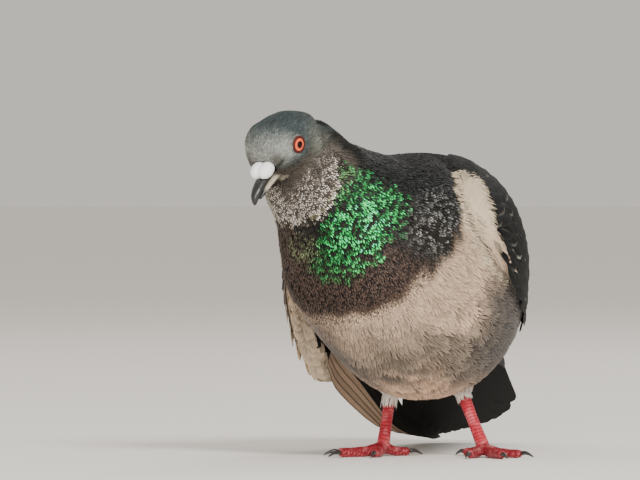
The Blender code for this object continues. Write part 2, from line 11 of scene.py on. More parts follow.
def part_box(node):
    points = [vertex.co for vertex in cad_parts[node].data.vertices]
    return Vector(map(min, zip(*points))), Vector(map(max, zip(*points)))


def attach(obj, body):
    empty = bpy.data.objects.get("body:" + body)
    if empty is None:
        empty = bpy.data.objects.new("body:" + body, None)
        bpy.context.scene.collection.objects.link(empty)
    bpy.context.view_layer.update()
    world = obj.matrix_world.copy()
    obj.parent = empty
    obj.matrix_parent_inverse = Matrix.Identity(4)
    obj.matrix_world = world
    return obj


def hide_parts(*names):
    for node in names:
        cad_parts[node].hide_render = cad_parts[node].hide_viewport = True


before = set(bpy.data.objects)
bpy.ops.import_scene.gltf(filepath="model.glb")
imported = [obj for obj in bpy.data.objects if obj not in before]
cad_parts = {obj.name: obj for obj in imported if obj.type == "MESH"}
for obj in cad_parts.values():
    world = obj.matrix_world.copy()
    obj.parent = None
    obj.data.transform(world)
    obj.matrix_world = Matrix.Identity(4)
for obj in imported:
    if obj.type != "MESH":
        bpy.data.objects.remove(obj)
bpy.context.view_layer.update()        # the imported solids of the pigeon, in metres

mm = 0.001
dice = np.random.default_rng(7)

# The bird faces -Y, +X is its left and +Z is up. Tables hold millimetres and degrees.
pose = {
    "headCentre": (-45, -97, 139.2),
    "headYaw": 21,
    "headPitch": 42,
    "eyePlace": (2.6, 9.9, 2.8),
    "eyeRadius": 4.8,
}

# the line that the plumage flows along, from the bill over the nape to the tail
spine = {
    "stations": (
        (-53.5, -119, 118),
        (-49.3, -108, 128.5),
        (-46.5, -100, 136.5),
        (-43.5, -92.5, 141.5),
        (-37.5, -83.5, 133),
        (-25, -71, 116),
        (-16, -60, 103),
        (-8.5, -46, 92),
        (-2.5, -28, 83.5),
        (0.5, -6, 78),
        (0, 18, 73),
        (-3, 40, 65),
        (-5, 58, 56),
        (-8, 70, 50),
    ),
    "samples": 240,
    "length": 240,
    "steady": 12,  # samples on each side that even out its direction
    "blur": 3,  # how much farther than the nearest sample others still count
}

# the knee, the hock and the root of the middle toe of each leg, and the heading and length of its toes
legs = {
    "left": {"knee": (15, -14, 50), "hock": (15.6, -7, 31), "middle": (28, -16, 4.2), "toeOut": 32},
    "right": {"knee": (-16, -14, 50), "hock": (-16.4, -6, 31), "middle": (-17.8, -16, 4.2), "toeOut": -35},
}
toes = {"hind": (202, 12), "inner": (-37, 19), "middle": (0, 25), "outer": (38, 20)}

# wing sections: y, upper edge x z, middle x z, lower edge x z, thickness
wingRows = {
    "left": (
        (-56, 33, 111, 37, 106, 39.5, 100, 2),
        (-47, 27, 124, 39.5, 109, 44.5, 88, 3.4),
        (-25, 17, 132, 41, 112, 46.5, 76, 4.6),
        (0, 14, 132, 38.5, 107, 42.5, 67, 4.6),
        (28, 13, 119, 33.5, 95, 32.5, 61, 3.8),
        (55, 12, 97, 25.5, 77, 24.5, 55, 2.6),
        (76, 10.5, 75, 16.5, 63, 16.5, 50.5, 1.8),
        (90, 11, 60, 12.8, 54.5, 13.5, 48.5, 1.4),
        (98, 11.5, 52, 12.2, 50, 12.6, 47.5, 1.1),
    ),
    "right": (
        (-56, -45, 109, -50.5, 101, -52.5, 94, 2),
        (-47, -37, 121, -51.5, 106, -54.5, 84, 3.4),
        (-25, -27, 130.5, -52.5, 106, -60, 70, 4.4),
        (0, -22, 128, -52, 96, -63, 52, 4.2),
        (22, -21, 116, -49, 80, -62.5, 39, 3.2),
        (40, -21, 102, -45, 68, -60, 33, 2.4),
        (60, -23, 82, -39, 57, -51, 36, 1.8),
        (76, -26, 63, -35, 49.5, -43.5, 37, 1.5),
        (89, -31, 48, -34, 43.5, -38, 38.5, 1.3),
        (95, -33, 44, -34, 42.5, -35, 41, 1.1),
    ),
}
bladeRows = {
    "left": (
        (38, 29, 64, 29.6, 58.5, 28.6, 54, 1.5),
        (58, 22, 60, 22.6, 54, 21, 48.5, 1.7),
        (82, 11.5, 51, 13.4, 46, 13.2, 41, 1.7),
        (98, 8.8, 45.5, 11.4, 41.6, 11.8, 38, 1.5),
        (114, 5, 39, 7.4, 35.8, 8.2, 32.8, 1.3),
        (132, 4, 29, 7, 26.5, 8.5, 24, 1),
        (141, 6.5, 26, 8, 25, 8.6, 24, 0.8),
    ),
    "right": (
        (32, -50, 54, -52.5, 47, -54.5, 37, 1.6),
        (42, -48, 52, -51.5, 42, -53.8, 30, 1.7),
        (60, -42, 42, -47.5, 33, -51.5, 22.5, 1.8),
        (80, -37, 25, -41.5, 20, -45.8, 13.5, 1.7),
        (96, -33.5, 14.5, -37, 11, -40.5, 6.5, 1.5),
        (112, -28, 8, -31, 6, -34, 3.4, 1.3),
        (128, -26, 4.6, -28, 3.8, -30, 2.8, 1),
        (137, -27, 3.2, -27.5, 3, -28, 2.7, 0.8),
    ),
}
tailFan = {
    "base": (-5.5, 50, 59),
    "length": 110,
    "pitch": 29.3,
    "yaw": 7.5,
    "roll": 16,
    "halfWidth": (16, 27),
    "camber": 2.5,
    "feathers": 12,
}

# plumage colours, sRGB
hues = {
    "crown": (62, 71, 71),
    "forehead": (166, 168, 160),
    "cheek": (84, 76, 67),
    "ear": (114, 116, 107),
    "lips": (190, 182, 160),
    # painted shade in the creases at the bill's root
    "line": (26, 23, 20),
    "nape": (26, 25, 21),
    "speckle": (222, 208, 194),
    "speckleDark": (90, 82, 75),
    "yellowGreen": (158, 158, 112),
    "green": (16, 112, 46),
    # painted glint on the emerald tips
    "greenGlint": (56, 238, 118),
    "gap": (38, 33, 28),
    "maroon": (82, 65, 56),
    "silver": (145, 145, 140),
    "mantle": (17, 18, 17),
    "strip": (206, 187, 158),
    "breast": (195, 168, 143),
    "belly": (125, 111, 96),
    "warm": (222, 182, 148),
    "flankShade": (76, 68, 60),
    # grey of the vent, darkened as painted shade under the tail
    "vent": (96, 88, 80),
    # painted shade for the lower sides of the belly and the breast's right side
    "rump": (100, 102, 102),
    "cuff": (252, 242, 230),
    "wing": (13, 14, 13),
    "wingPale": (186, 180, 166),
    "lining": (255, 230, 198),
    "olive": (122, 132, 94),
    "quill": (178, 150, 126),
    # the tail's underside is darker than its top: black feathers, and painted shade under the tail
    "tail": (12, 11, 10),
    "tailPale": (52, 52, 52),
}


def linear(colour):
    share = np.array(colour, float) / 255
    return np.where(share <= 0.04045, share / 12.92, ((share + 0.055) / 1.055) ** 2.4)


tone = {name: linear(value) for name, value in hues.items()}


def unit(vectors):
    return vectors / np.maximum(np.linalg.norm(vectors, axis=-1, keepdims=True), 1e-12)


def smoothStep(low, high, value):
    share = np.clip((value - low) / (high - low), 0, 1)
    return share * share * (3 - 2 * share)


def blendTo(colours, share, target):
    return colours + (target - colours) * np.asarray(share)[..., None]


def laidOver(colours, layers):
    # each layer is a share and a colour, which may be the name of one
    for share, colour in layers:
        colours = blendTo(colours, share, tone[colour] if isinstance(colour, str) else colour)
    return colours


def layered(count, base, layers):
    return laidOver(np.repeat(base[None], count, 0), layers)


def ripple(points, size, seed):
    # a soft noise from -1 to 1: waves of about one size in many directions
    waves = np.random.default_rng(seed)
    total = np.zeros(points.shape[:-1])
    for turn in range(9):
        way = unit(waves.normal(size=3))
        length = size * waves.uniform(0.7, 1.6)
        total += np.sin(points @ way * (math.tau / length) + waves.uniform(0, math.tau))
    return np.clip(total / 4.2, -1, 1)


def heading(yaw, pitch):
    yaw, pitch = math.radians(yaw), math.radians(pitch)
    return np.array((-math.sin(yaw) * math.cos(pitch), -math.cos(yaw) * math.cos(pitch), math.sin(pitch)))


def curveThrough(rows, count):
    # Catmull-Rom rows between the given rows
    rows = np.array(rows, float)
    padded = np.vstack((2 * rows[0] - rows[1], rows, 2 * rows[-1] - rows[-2]))
    found = []
    for place in np.linspace(0, len(rows) - 1, count):
        i = min(int(place), len(rows) - 2)
        t = place - i
        a, b, c, d = padded[i : i + 4]
        found.append(b + 0.5 * t * (c - a + t * (2 * a - 5 * b + 4 * c - d + t * (3 * (b - c) + d - a))))
    return np.array(found)


def middleOf(*names):
    corners = [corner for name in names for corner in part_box(name)]
    return np.array(sum(corners, Vector()) / len(corners))


# where the head is, and how far the tables' origin lies from the frame's
headAhead = heading(pose["headYaw"], -pose["headPitch"])
yawTurn = math.radians(pose["headYaw"])
headLeft = np.array((math.cos(yawTurn), -math.sin(yawTurn), 0.0))
headUp = np.cross(headAhead, headLeft)
headAxes = np.array((headAhead, headLeft, headUp))
eyeForward, eyeSide, eyeRise = pose["eyePlace"]
headCentre = middleOf("eye_left", "eye_right") - np.array((eyeForward, 0, eyeRise)) * mm @ headAxes
shift = headCentre - np.array(pose["headCentre"]) * mm


def inHead(forward, left, up):
    return headCentre + np.array((forward, left, up)) * mm @ headAxes


def toHead(points):
    return (points - headCentre) @ headAxes.T / mm


def placed(spot):
    # a place of the tables in the frame
    return np.array(spot) * mm + shift


def flattened(vectors, normals):
    # the part of each vector across its normal
    return unit(vectors - (vectors * normals).sum(1, keepdims=True) * normals)


def through(first, middle, last, t):
    # the place on a curve through three places at 0, a half and 1, and its slope there
    place = first * (2 * (t - 0.5) * (t - 1)) + middle * (4 * t * (1 - t)) + last * (2 * t * (t - 0.5))
    return place, first * (4 * t - 3) + middle * (4 - 8 * t) + last * (4 * t - 1)


def makeSpine():
    path = placed(curveThrough(spine["stations"], spine["samples"]))
    way = unit(np.gradient(path, axis=0))
    steady = spine["steady"]
    kernel = np.exp(-np.linspace(-2, 2, 2 * steady + 1) ** 2)
    kernel /= kernel.sum()
    padded = np.vstack((np.repeat(way[:1], steady, 0), way, np.repeat(way[-1:], steady, 0)))
    way = unit(np.array([np.convolve(padded[:, i], kernel, "valid") for i in range(3)]).T)
    left = unit(np.cross((0, 0, 1.0), -way))
    up = np.cross(-way, left)
    along = np.concatenate(([0], np.cumsum(np.linalg.norm(np.diff(path, axis=0), axis=1)))) / mm
    return path, way, left, up, along


spinePath, spineWay, spineLeft, spineUp, spineAlong = makeSpine()


def readSpine(points):
    # millimetres along the spine, degrees round it from the back towards the left, and the flow
    along, around, flow = [], [], []
    most = 20000  # points at a time
    for start in range(0, len(points), most):
        batch = points[start : start + most]
        far = np.linalg.norm(batch[:, None] - spinePath[None], axis=2) / mm
        nearest = far.argmin(1)
        weight = np.exp(-(((far - far.min(1, keepdims=True)) / spine["blur"]) ** 2))
        weight /= weight.sum(1, keepdims=True)
        along.append(weight @ spineAlong)
        flow.append(unit(weight @ spineWay))
        reach = batch - spinePath[nearest]
        sideways = (reach * spineLeft[nearest]).sum(1)
        upwards = (reach * spineUp[nearest]).sum(1)
        around.append(np.degrees(np.arctan2(sideways, upwards)))
    flow = np.concatenate(flow)
    fromBill = points - inHead(17, 0, -2)
    share = smoothStep(24, 50, np.linalg.norm(fromBill, axis=1) / mm)[:, None]
    flow = unit(unit(fromBill) * (1 - share) + flow * share)
    return np.concatenate(along), np.concatenate(around), flow


def newObject(name, mesh):
    thing = bpy.data.objects.new(name, mesh)
    bpy.context.scene.collection.objects.link(thing)
    return thing


def settled(thing):
    # the mesh with its modifiers applied
    graph = bpy.context.evaluated_depsgraph_get()
    mesh = bpy.data.meshes.new_from_object(thing.evaluated_get(graph))
    thing.modifiers.clear()
    thing.data = mesh
    return thing


def readMesh(mesh):
    points = np.zeros(len(mesh.vertices) * 3)
    mesh.vertices.foreach_get("co", points)
    normals = np.zeros(len(mesh.vertices) * 3)
    mesh.vertices.foreach_get("normal", normals)
    return points.reshape(-1, 3), normals.reshape(-1, 3)


def movePoints(mesh, points):
    mesh.vertices.foreach_set("co", points.ravel())
    mesh.update()


def paint(mesh, colours):
    layer = mesh.color_attributes.new("tint", "FLOAT_COLOR", "POINT")
    rows = np.ones((len(colours), 4), np.float32)
    rows[:, :3] = np.clip(colours, 0, 1)
    layer.data.foreach_set("color", rows.ravel())


def meshFrom(bm, name):
    mesh = bpy.data.meshes.new(name)
    bm.to_mesh(mesh)
    bm.free()
    return mesh


def copyOf(name, nodeNames):
    # the merged meshes of some solids as one new object
    bm = bmesh.new()
    for nodeName in nodeNames:
        bm.from_mesh(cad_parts[nodeName].data)
    bmesh.ops.remove_doubles(bm, verts=bm.verts, dist=0.002 * mm)
    return newObject(name, meshFrom(bm, name))


def eased(thing, times, group=""):
    ease = thing.modifiers.new("ease", "SMOOTH")
    ease.factor = 0.5
    ease.iterations = times
    ease.vertex_group = group
    return settled(thing)


covers = {  # how a skin is laid round solids: its swelling, its voxels and how often it is smoothed
    "body": (0.25, 1.3, 6),
    "shoulders": (1.0, 1.4, 12),
    "bill": (0.02, 0.28, 3),
    "cere": (0.1, 0.3, 10),
    "leg": (0.16, 0.4, 3),
}


def remeshed(thing, kind):
    # one closed skin round solids that nearly touch
    swell, voxel, smoothing = covers[kind]
    grow = thing.modifiers.new("grow", "DISPLACE")
    grow.strength = swell * mm
    grow.mid_level = 0
    cover = thing.modifiers.new("cover", "REMESH")
    cover.mode = "VOXEL"
    cover.voxel_size = voxel * mm
    return eased(thing, smoothing)


def featherMesh(name, points, faces, tint, vane, bake):
    # points, tint and maps have one row for each feather, and all feathers share their faces
    count, each = points.shape[:2]
    sides = faces.shape[1]
    first = points[0]
    corners = first[faces[:, :3]] - first.mean(0)
    if np.einsum("ij,ij->i", corners[:, 0], np.cross(corners[:, 1], corners[:, 2])).sum() < 0:
        faces = faces[:, ::-1]
    loops = (faces[None] + (np.arange(count) * each)[:, None, None]).ravel()
    mesh = bpy.data.meshes.new(name)
    mesh.vertices.add(count * each)
    mesh.vertices.foreach_set("co", points.astype(np.float32).ravel())
    mesh.loops.add(len(loops))
    mesh.loops.foreach_set("vertex_index", loops.astype(np.int32))
    mesh.polygons.add(len(loops) // sides)
    mesh.polygons.foreach_set("loop_start", np.arange(0, len(loops), sides, dtype=np.int32))
    mesh.update(calc_edges=True)
    mesh.validate()
    paint(mesh, tint.reshape(-1, 3))
    for layerName, places in (("OFBake", bake), ("vane", vane)):
        layer = mesh.uv_layers.new(name=layerName)
        flat = np.broadcast_to(places, (count, each, 2)).reshape(-1, 2)
        layer.data.foreach_set("uv", flat[loops].astype(np.float32).ravel())
    mesh.shade_smooth()
    mesh.set_sharp_from_angle(angle=math.radians(60))
    return newObject(name, mesh)


def dress(thing, finish, replaced=(), colours=None):
    if colours is not None:
        paint(thing.data, colours)
        thing.data.shade_smooth()
    thing.data.materials.clear()
    thing.data.materials.append(finish if isinstance(finish, bpy.types.Material) else finishes[finish])
    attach(thing, "root")
    if replaced:
        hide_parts(*replaced)


def shaderNodes(name):
    material = bpy.data.materials.new(name)
    material.use_nodes = True
    tree = material.node_tree
    return material, tree, tree.nodes["Principled BSDF"]


def connect(tree, node, values):
    # sets or links a node's sockets
    for socket, value in values.items():
        if isinstance(value, bpy.types.NodeSocket):
            tree.links.new(value, node.inputs[socket])
        else:
            node.inputs[socket].default_value = value
    return node


def addNode(tree, kind, values, **settings):
    node = tree.nodes.new("ShaderNode" + kind)
    for setting, value in settings.items():
        setattr(node, setting, value)
    return connect(tree, node, values)


def noiseNode(tree, scale, detail=3.0):
    place = addNode(tree, "TexCoord", {}).outputs["Object"]
    return addNode(tree, "TexNoise", {"Scale": scale, "Detail": detail, "Vector": place}).outputs["Fac"]


def rangeNode(tree, value, low, high, fromLow=0.0, fromHigh=1.0):
    ends = {"From Min": fromLow, "From Max": fromHigh, "To Min": low, "To Max": high}
    return addNode(tree, "MapRange", {**ends, "Value": value}).outputs["Result"]


def mathNode(tree, operation, *values):
    return addNode(tree, "Math", dict(enumerate(values)), operation=operation).outputs["Value"]


def multiplied(tree, colour, value):
    mix = addNode(tree, "Mix", {}, data_type="RGBA", blend_type="MULTIPLY")
    return connect(tree, mix, {"Factor": 1.0, "A": colour, "B": value}).outputs["Result"]


def bumpNode(tree, height, strength, distance):
    values = {"Strength": strength, "Distance": distance, "Height": height}
    return addNode(tree, "Bump", values).outputs["Normal"]


def tintNode(tree):
    return addNode(tree, "Attribute", {}, attribute_name="tint").outputs["Color"]


def plumeFinish(name, roughness, barbs, sheen, metallic=0.0, specular=0.3, soft=0.35):
    # tint of each feather, with barbs slanting from the shaft and a fine uneven tone
    material, tree, shader = shaderNodes(name)
    vane = addNode(tree, "UVMap", {}, uv_map="vane").outputs["UV"]
    parts = addNode(tree, "SeparateXYZ", {"Vector": vane}).outputs
    fromShaft = mathNode(tree, "ABSOLUTE", mathNode(tree, "SUBTRACT", parts["X"], 0.5))
    slant = mathNode(tree, "SUBTRACT", parts["Y"], mathNode(tree, "MULTIPLY", fromShaft, 0.35))
    stripes = mathNode(tree, "SINE", mathNode(tree, "MULTIPLY", slant, barbs * math.tau))
    shade = mathNode(tree, "ADD", rangeNode(tree, stripes, -soft * 0.3, soft * 0.3, -1.0),
                     rangeNode(tree, noiseNode(tree, 900.0, 2.0), 1 - soft, 1 + soft))
    connect(tree, shader, {
        "Base Color": multiplied(tree, tintNode(tree), shade),
        "Roughness": roughness,
        "Metallic": metallic,
        "Specular IOR Level": specular,
        "Sheen Weight": sheen,
        "Sheen Roughness": 0.5,
        "Normal": bumpNode(tree, stripes, 0.25, 0.00012),
    })
    return material


def hideFinish(name, roughness, scale, strength, spread, specular=0.3, coat=0.0, under=0.0):
    # bare skin, horn and powder: tint with mottling and fine bumps
    material, tree, shader = shaderNodes(name)
    fine = noiseNode(tree, scale * 5)
    mottle = rangeNode(tree, noiseNode(tree, scale, 4.0), 1 - spread, 1 + spread)
    connect(tree, shader, {
        "Base Color": multiplied(tree, tintNode(tree), mottle),
        "Roughness": rangeNode(tree, fine, roughness - 0.1, roughness + 0.12),
        "Specular IOR Level": specular,
        "Coat Weight": coat,
        "Coat Roughness": 0.2,
        "Subsurface Weight": under,
        "Subsurface Scale": 0.001,
        "Normal": bumpNode(tree, fine, strength, 0.00025),
    })
    return material


finishes = {
    "skin": hideFinish("skin", 0.85, 400.0, 0.6, 0.25),
    "down": plumeFinish("down", 0.85, 3.0, 0.2, specular=0.15, soft=0.2),
    "slate": plumeFinish("slate", 0.7, 3.0, 0.02, specular=0.12, soft=0.25),
    "hackle": plumeFinish("hackle", 0.42, 5.0, 0.0, metallic=0.3, specular=0.25),
    "covert": plumeFinish("covert", 0.6, 24.0, 0.0, specular=0.12),
    "flight": plumeFinish("flight", 0.55, 90.0, 0.0, specular=0.12, soft=0.2),
    "bill": hideFinish("bill", 0.36, 500.0, 0.25, 0.2, specular=0.5, coat=0.2),
    "cere": hideFinish("cere", 0.9, 900.0, 0.8, 0.12, under=0.1),
    "shank": hideFinish("shank", 0.5, 700.0, 0.35, 0.22, specular=0.35, under=0.05),
    "lid": hideFinish("lid", 0.55, 900.0, 0.6, 0.2),
}
print("finishes made")


eye = {
    "tilt": 9,  # forwards from straight sideways
    "pupil": 1.45,
    "iris": 2.8,
    "opening": 3.25,
    "dome": 0.55,
    "ringStart": 42,  # from the eye's axis to the inner and outer edge of the bare ring
    "ringEnd": 52,
    "lidOut": 5.12,
    "lidIn": 4.84,
    "lidEdge": 3.9,
    "pupilColour": (26, 3, 2),
    "edgeColour": (140, 48, 26),
    "innerColour": (226, 104, 68),
    "outerColour": (196, 62, 42),
    "rimColour": (72, 20, 14),
    "ringColour": (74, 32, 26),
    "lidColour": (110, 112, 108),
}


def eyeAxis(sign):
    tilt = math.radians(eye["tilt"])
    return headLeft * sign * math.cos(tilt) + headAhead * math.sin(tilt)


fleshNodes = ("head", "neck", "breast", "back", "belly", "rump", "thigh_left", "thigh_right")
skinSizes = {
    "headDepth": 0.6,  # how far the skin lies below the coat's form
    "bodyDepth": 1.5,
    "legDepth": 0.9,
    "shade": 0.75,  # the skin's colour as a share of the feathers' next to it: painted shade under the coat
    "smoothing": 4,
    "brow": (2.6, 4.1, 2.8, 9.3),  # the round of the head behind each eye: its place and radius
    # where the coat smooths the flesh over, and where it stands fuller or lower, in the head's frame
    "eased": (-17, 0, 8, 11, 30),
    "bulges": (
        ((5, 0, 12), 11, 0.8),
        ((-5, -10, 8), 6, 0.9),
        ((-17.5, 8, 1), 4.5, 1.2),
        ((-24, 12, -11), 11, -1.8),
        ((-24.5, 19, -22), 9, -1.2),
    ),
}


def makeForm():
    form = copyOf("body_skin", fleshNodes)
    bm = bmesh.new()
    bm.from_mesh(form.data)
    forward, left, up, radius = skinSizes["brow"]
    for sign in (-1, 1):
        place = Matrix.Translation(inHead(forward, sign * left, up))
        bmesh.ops.create_icosphere(bm, subdivisions=4, radius=radius * mm, matrix=place)
    bm.to_mesh(form.data)
    bm.free()
    remeshed(form, "body")
    *spot, reach, times = skinSizes["eased"]
    far = np.linalg.norm(toHead(readMesh(form.data)[0]) - spot, axis=1)
    group = form.vertex_groups.new(name="nape")
    for index in np.flatnonzero(far < reach * 1.6):
        group.add([int(index)], float(math.exp(-((far[index] / reach) ** 4))), "REPLACE")
    eased(form, times, "nape")
    form.vertex_groups.clear()
    points, normals = readMesh(form.data)
    for spot, reach, height in skinSizes["bulges"]:
        share = np.exp(-((np.linalg.norm(toHead(points) - spot, axis=1) / reach) ** 2))
        points = points + normals * (share * height * mm)[:, None]
    movePoints(form.data, points)
    return form


coatForm = makeForm()
formPoints, formNormals = readMesh(coatForm.data)
formAlong, formAround = readSpine(formPoints)[:2]


def surfaceTree(mesh):
    # for finding the nearest place on a mesh
    faces = [tuple(face.vertices) for face in mesh.polygons]
    return BVHTree.FromPolygons(readMesh(mesh)[0].tolist(), faces)


def solidTree(*names):
    bm = bmesh.new()
    for name in names:
        bm.from_mesh(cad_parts[name].data)
    tree = BVHTree.FromBMesh(bm)
    bm.free()
    return tree


coatTree = surfaceTree(coatForm.data)
wingTree = solidTree("coverts_left", "secondaries_left", "coverts_right", "secondaries_right")
billTree = solidTree("bill_upper", "bill_lower", "cere")
print("coat form", len(formPoints), "points")


def legShare(points):
    # 1 on the feathered part of a leg, 0 on the trunk
    share = np.zeros(len(points))
    for leg in legs.values():
        knee = placed(leg["knee"])
        axis = placed(leg["hock"]) - knee
        t = np.clip((points - knee) @ axis / (axis @ axis), 0, 1.4)
        far = np.linalg.norm(points - knee - t[:, None] * axis, axis=1) / mm
        share = np.maximum(share, smoothStep(15, 10.5, far) * smoothStep(46, 39, points[:, 2] / mm))
    return share


def coatDepth(points, along):
    onLeg = legShare(points)
    more = (skinSizes["bodyDepth"] - skinSizes["headDepth"]) * smoothStep(40, 95, along)
    return ((skinSizes["headDepth"] + more) * (1 - onLeg) + skinSizes["legDepth"] * onLeg) * mm


wingFront = {  # the line of each wing's front edge, with how far pale feathers reach from it
    "left": (
        (24, -42, 127, 3),
        (27.5, -48, 122, 8),
        (32, -54, 114, 10.5),
        (36, -56, 107, 11),
        (39.5, -56, 100, 9.5),
        (44.5, -47, 88, 7),
        (46.5, -25, 76, 1),
        (43.5, -5, 68, -4),
    ),
    "right": (
        (-35, -43, 124, 2),
        (-42, -51, 116, 5),
        (-48, -56, 106, 7),
        (-52.5, -56, 94, 7),
        (-54.5, -47, 84, 4),
        (-59, -25, 71, 0),
    ),
}
faceLines = {  # creases from the bill's root, where shade is painted dark, and a pale line, in the head's frame
    "gape": ((12.2, 9.6, 1.9), (14.2, 7.5, 0.8), (14.8, 4.8, -1)),
    "crease": ((10.2, 5, -9.8), (9.9, 2.2, -11.3), (9.3, -1.7, -13), (8.9, -5.6, -15.2),
               (8.4, -9, -17.4)),
    "pale": ((11.5, 5.5, -6), (11.5, 3, -8.4), (11, -1, -10.5)),
}


def nearLine(points, line):
    # the distance to the nearest of a line's points, less the point's own reach if it has one
    far = np.full(len(points), 1e9)
    for row in curveThrough(line, 30):
        far = np.minimum(far, np.linalg.norm(points - row[:3], axis=1) - sum(row[3:]))
    return far


def stripShare(points, bend):
    # pale feathers in front of the wings
    share = np.zeros(len(points))
    for line in wingFront.values():
        share = np.maximum(share, smoothStep(1.5, -1.5, nearLine((points - shift) / mm, line) + 2 * bend))
    return share


def creaseShadeShare(place):
    # painted shade: how near a place lies to the gape and the crease by the bill, where the face is painted
    # dark
    share = np.zeros(len(place))
    for name in ("gape", "crease"):
        line = np.array(faceLines[name])
        for side in (1, -1):
            share = np.maximum(share, smoothStep(1.3, 0.4, nearLine(place, line * (1, side, 1))))
    return share


def ringAngle(around):
    # 0 on the back, 90 on the bird's left side, 180 on the breast, up to 320 on its right
    return np.where(around < -40, around + 360, around)


def collar(along, around):
    # the throat is reached sooner from the bill than the nape
    return along + 0.33 * np.clip(np.abs(around) - 95, 0, 55)


def greenShare(along, around):
    # the emerald patch on each side of the neck
    side = np.abs(around)
    ring = ringAngle(around)
    front = np.maximum(smoothStep(194, 168, ring), smoothStep(234, 250, ring))
    high = np.interp(side, (80, 102, 114, 125, 140, 161, 178), (50, 54, 58, 63, 69, 74, 78))
    low = np.interp(side, (55, 66, 81, 96, 129, 155), (77, 83, 87, 87, 88, 91))
    return smoothStep(-3, 4, along - high) * smoothStep(4, -3, along - low) * smoothStep(58, 78, side) * front


def markings(points, along, around):
    # the base tint at places on the body, with painted shade by the bill, on the lower sides and under the
    # tail, without the feathers' own tips and edges
    bend = ripple(points, 9 * mm, 3)
    fine = ripple(points, 4 * mm, 4)
    broad = ripple(points, 22 * mm, 5)
    side, ring = np.abs(around), ringAngle(around)
    place = toHead(points)
    brow = smoothStep(0, 13, place[:, 0] + 2 * bend)
    brow = brow * smoothStep(19, 5, place[:, 2]) * smoothStep(-3, 4, place[:, 2])
    cheek = smoothStep(1, -7, place[:, 2] + 2 * bend) * smoothStep(-18, -6, place[:, 0])
    ear = np.exp(-(((place[:, 0] + 7) / 7) ** 2) - ((place[:, 2] + 3) / 6) ** 2)
    # painted shade: the face is darkened towards the cheek tone in the crease behind the cere
    creaseShadeByCere = np.exp(-((np.abs(place) - (14.3, 6.8, 2.6)) ** 2).sum(1) / 3.2**2)
    colours = layered(len(points), tone["crown"], (
        (brow * 0.9, "forehead"),
        (cheek * 0.9, "cheek"),
        (ear * 0.8, "ear"),
        (creaseShadeByCere * 0.8, tone["cheek"] * 0.8),
    )) * (1 + 0.1 * fine)[:, None]
    back = smoothStep(92, 60, side + 8 * bend)
    speckled = smoothStep(43, 48, collar(along, around) + 3 * bend) * (1 - back)
    neck = smoothStep(58, 66, along + 3 * bend)
    bib = smoothStep(82, 90, along + 2 * bend) * smoothStep(100, 122, side)
    rightFront = smoothStep(58, 68, along) * smoothStep(172, 186, ring + 6 * bend)
    bibFoot = 100 + 5 * smoothStep(128, 88, side)
    crest = 27 + 36 * smoothStep(118, 132, along)  # the dark mantle widens behind the shoulders
    pale = smoothStep(-1, 3, along + 2 * bend - bibFoot) * smoothStep(-3, 4, side + 3 * bend - crest)
    late = 14 * smoothStep(146, 122, side) * (around > 0)
    warm = smoothStep(121, 136, along + 5 * bend) * smoothStep(140, 164, side + 8 * broad)
    # painted shade: the breast's right side is darkened, as it lies away from the light
    rightSideShade = smoothStep(174, 198, ring + 5 * bend)
    lower = blendTo(tone["breast"], smoothStep(106, 121, along - late + 4 * broad), tone["belly"])
    lower = laidOver(lower, (
        (warm * 0.8, "warm"),
        # painted shade on the belly's lower sides, which face down
        (smoothStep(123, 140, along + 4 * broad) * smoothStep(156, 130, side), "flankShade"),
        (smoothStep(96, 106, along) * rightSideShade * 0.65, "flankShade"),
    ))
    strip = stripShare(points, bend) * smoothStep(60, 80, along)
    off = [nearLine(place * (1, mirror, 1), faceLines["pale"]) for mirror in (1, -1)]
    return laidOver(colours, (
        (smoothStep(38, 50, along + 4 * bend) * back, "nape"),
        (speckled * 0.85, "speckleDark"),
        (neck * (1 - back), "gap"),
        (neck * back, "mantle"),
        (np.maximum(bib, rightFront), "maroon"),
        (pale, lower * (1 + 0.1 * fine + 0.06 * broad)[:, None]),
        # the vent's grey, partly painted shade under the tail
        (smoothStep(165, 205, along) * (1 - back) * 0.7, "vent"),
        (smoothStep(150, 185, along) * back * 0.8, "rump"),
        (strip, tone["strip"] * (1 + 0.08 * fine)[:, None]),
        (smoothStep(2.2, 0.8, np.minimum(*off)) * 0.5, "lips"),
        # painted shade in the creases by the bill
        (creaseShadeShare(place) * 0.92, "line"),
        (legShare(points) * smoothStep(38, 30, points[:, 2] / mm), "cuff"),
    ))


def makeSkin():
    # painted shade: the skin under the coat is a darker copy of the markings
    tint = markings(formPoints, formAlong, formAround) * skinSizes["shade"]
    depth = coatDepth(formPoints, formAlong)
    movePoints(coatForm.data, formPoints - formNormals * depth[:, None])
    paint(coatForm.data, tint)
    eased(coatForm, skinSizes["smoothing"])
    coatForm.data.shade_smooth()
    dress(coatForm, "skin", fleshNodes)


# how far along a hair or a clump of barbs its three-cornered sections stand, and their share of its width
quills = {
    "hair": ((0.34, 1.0), (0.76, 0.8)),
    "barb": ((0.4, 0.7), (0.66, 0.95), (0.86, 1.0)),
}


def spindleFaces(sections):
    faces = [(0, 1, 2), (0, 2, 3), (0, 3, 1)]
    for k in range(sections - 1):
        near, far = 1 + 3 * k, 4 + 3 * k
        for i in range(3):
            j = (i + 1) % 3
            faces.append((near + i, far + i, far + j))
            faces.append((near + i, far + j, near + j))
    last = 1 + 3 * (sections - 1)
    tip = last + 3
    faces += [(last, tip, last + 1), (last + 1, tip, last + 2), (last + 2, tip, last)]
    return np.array(faces)


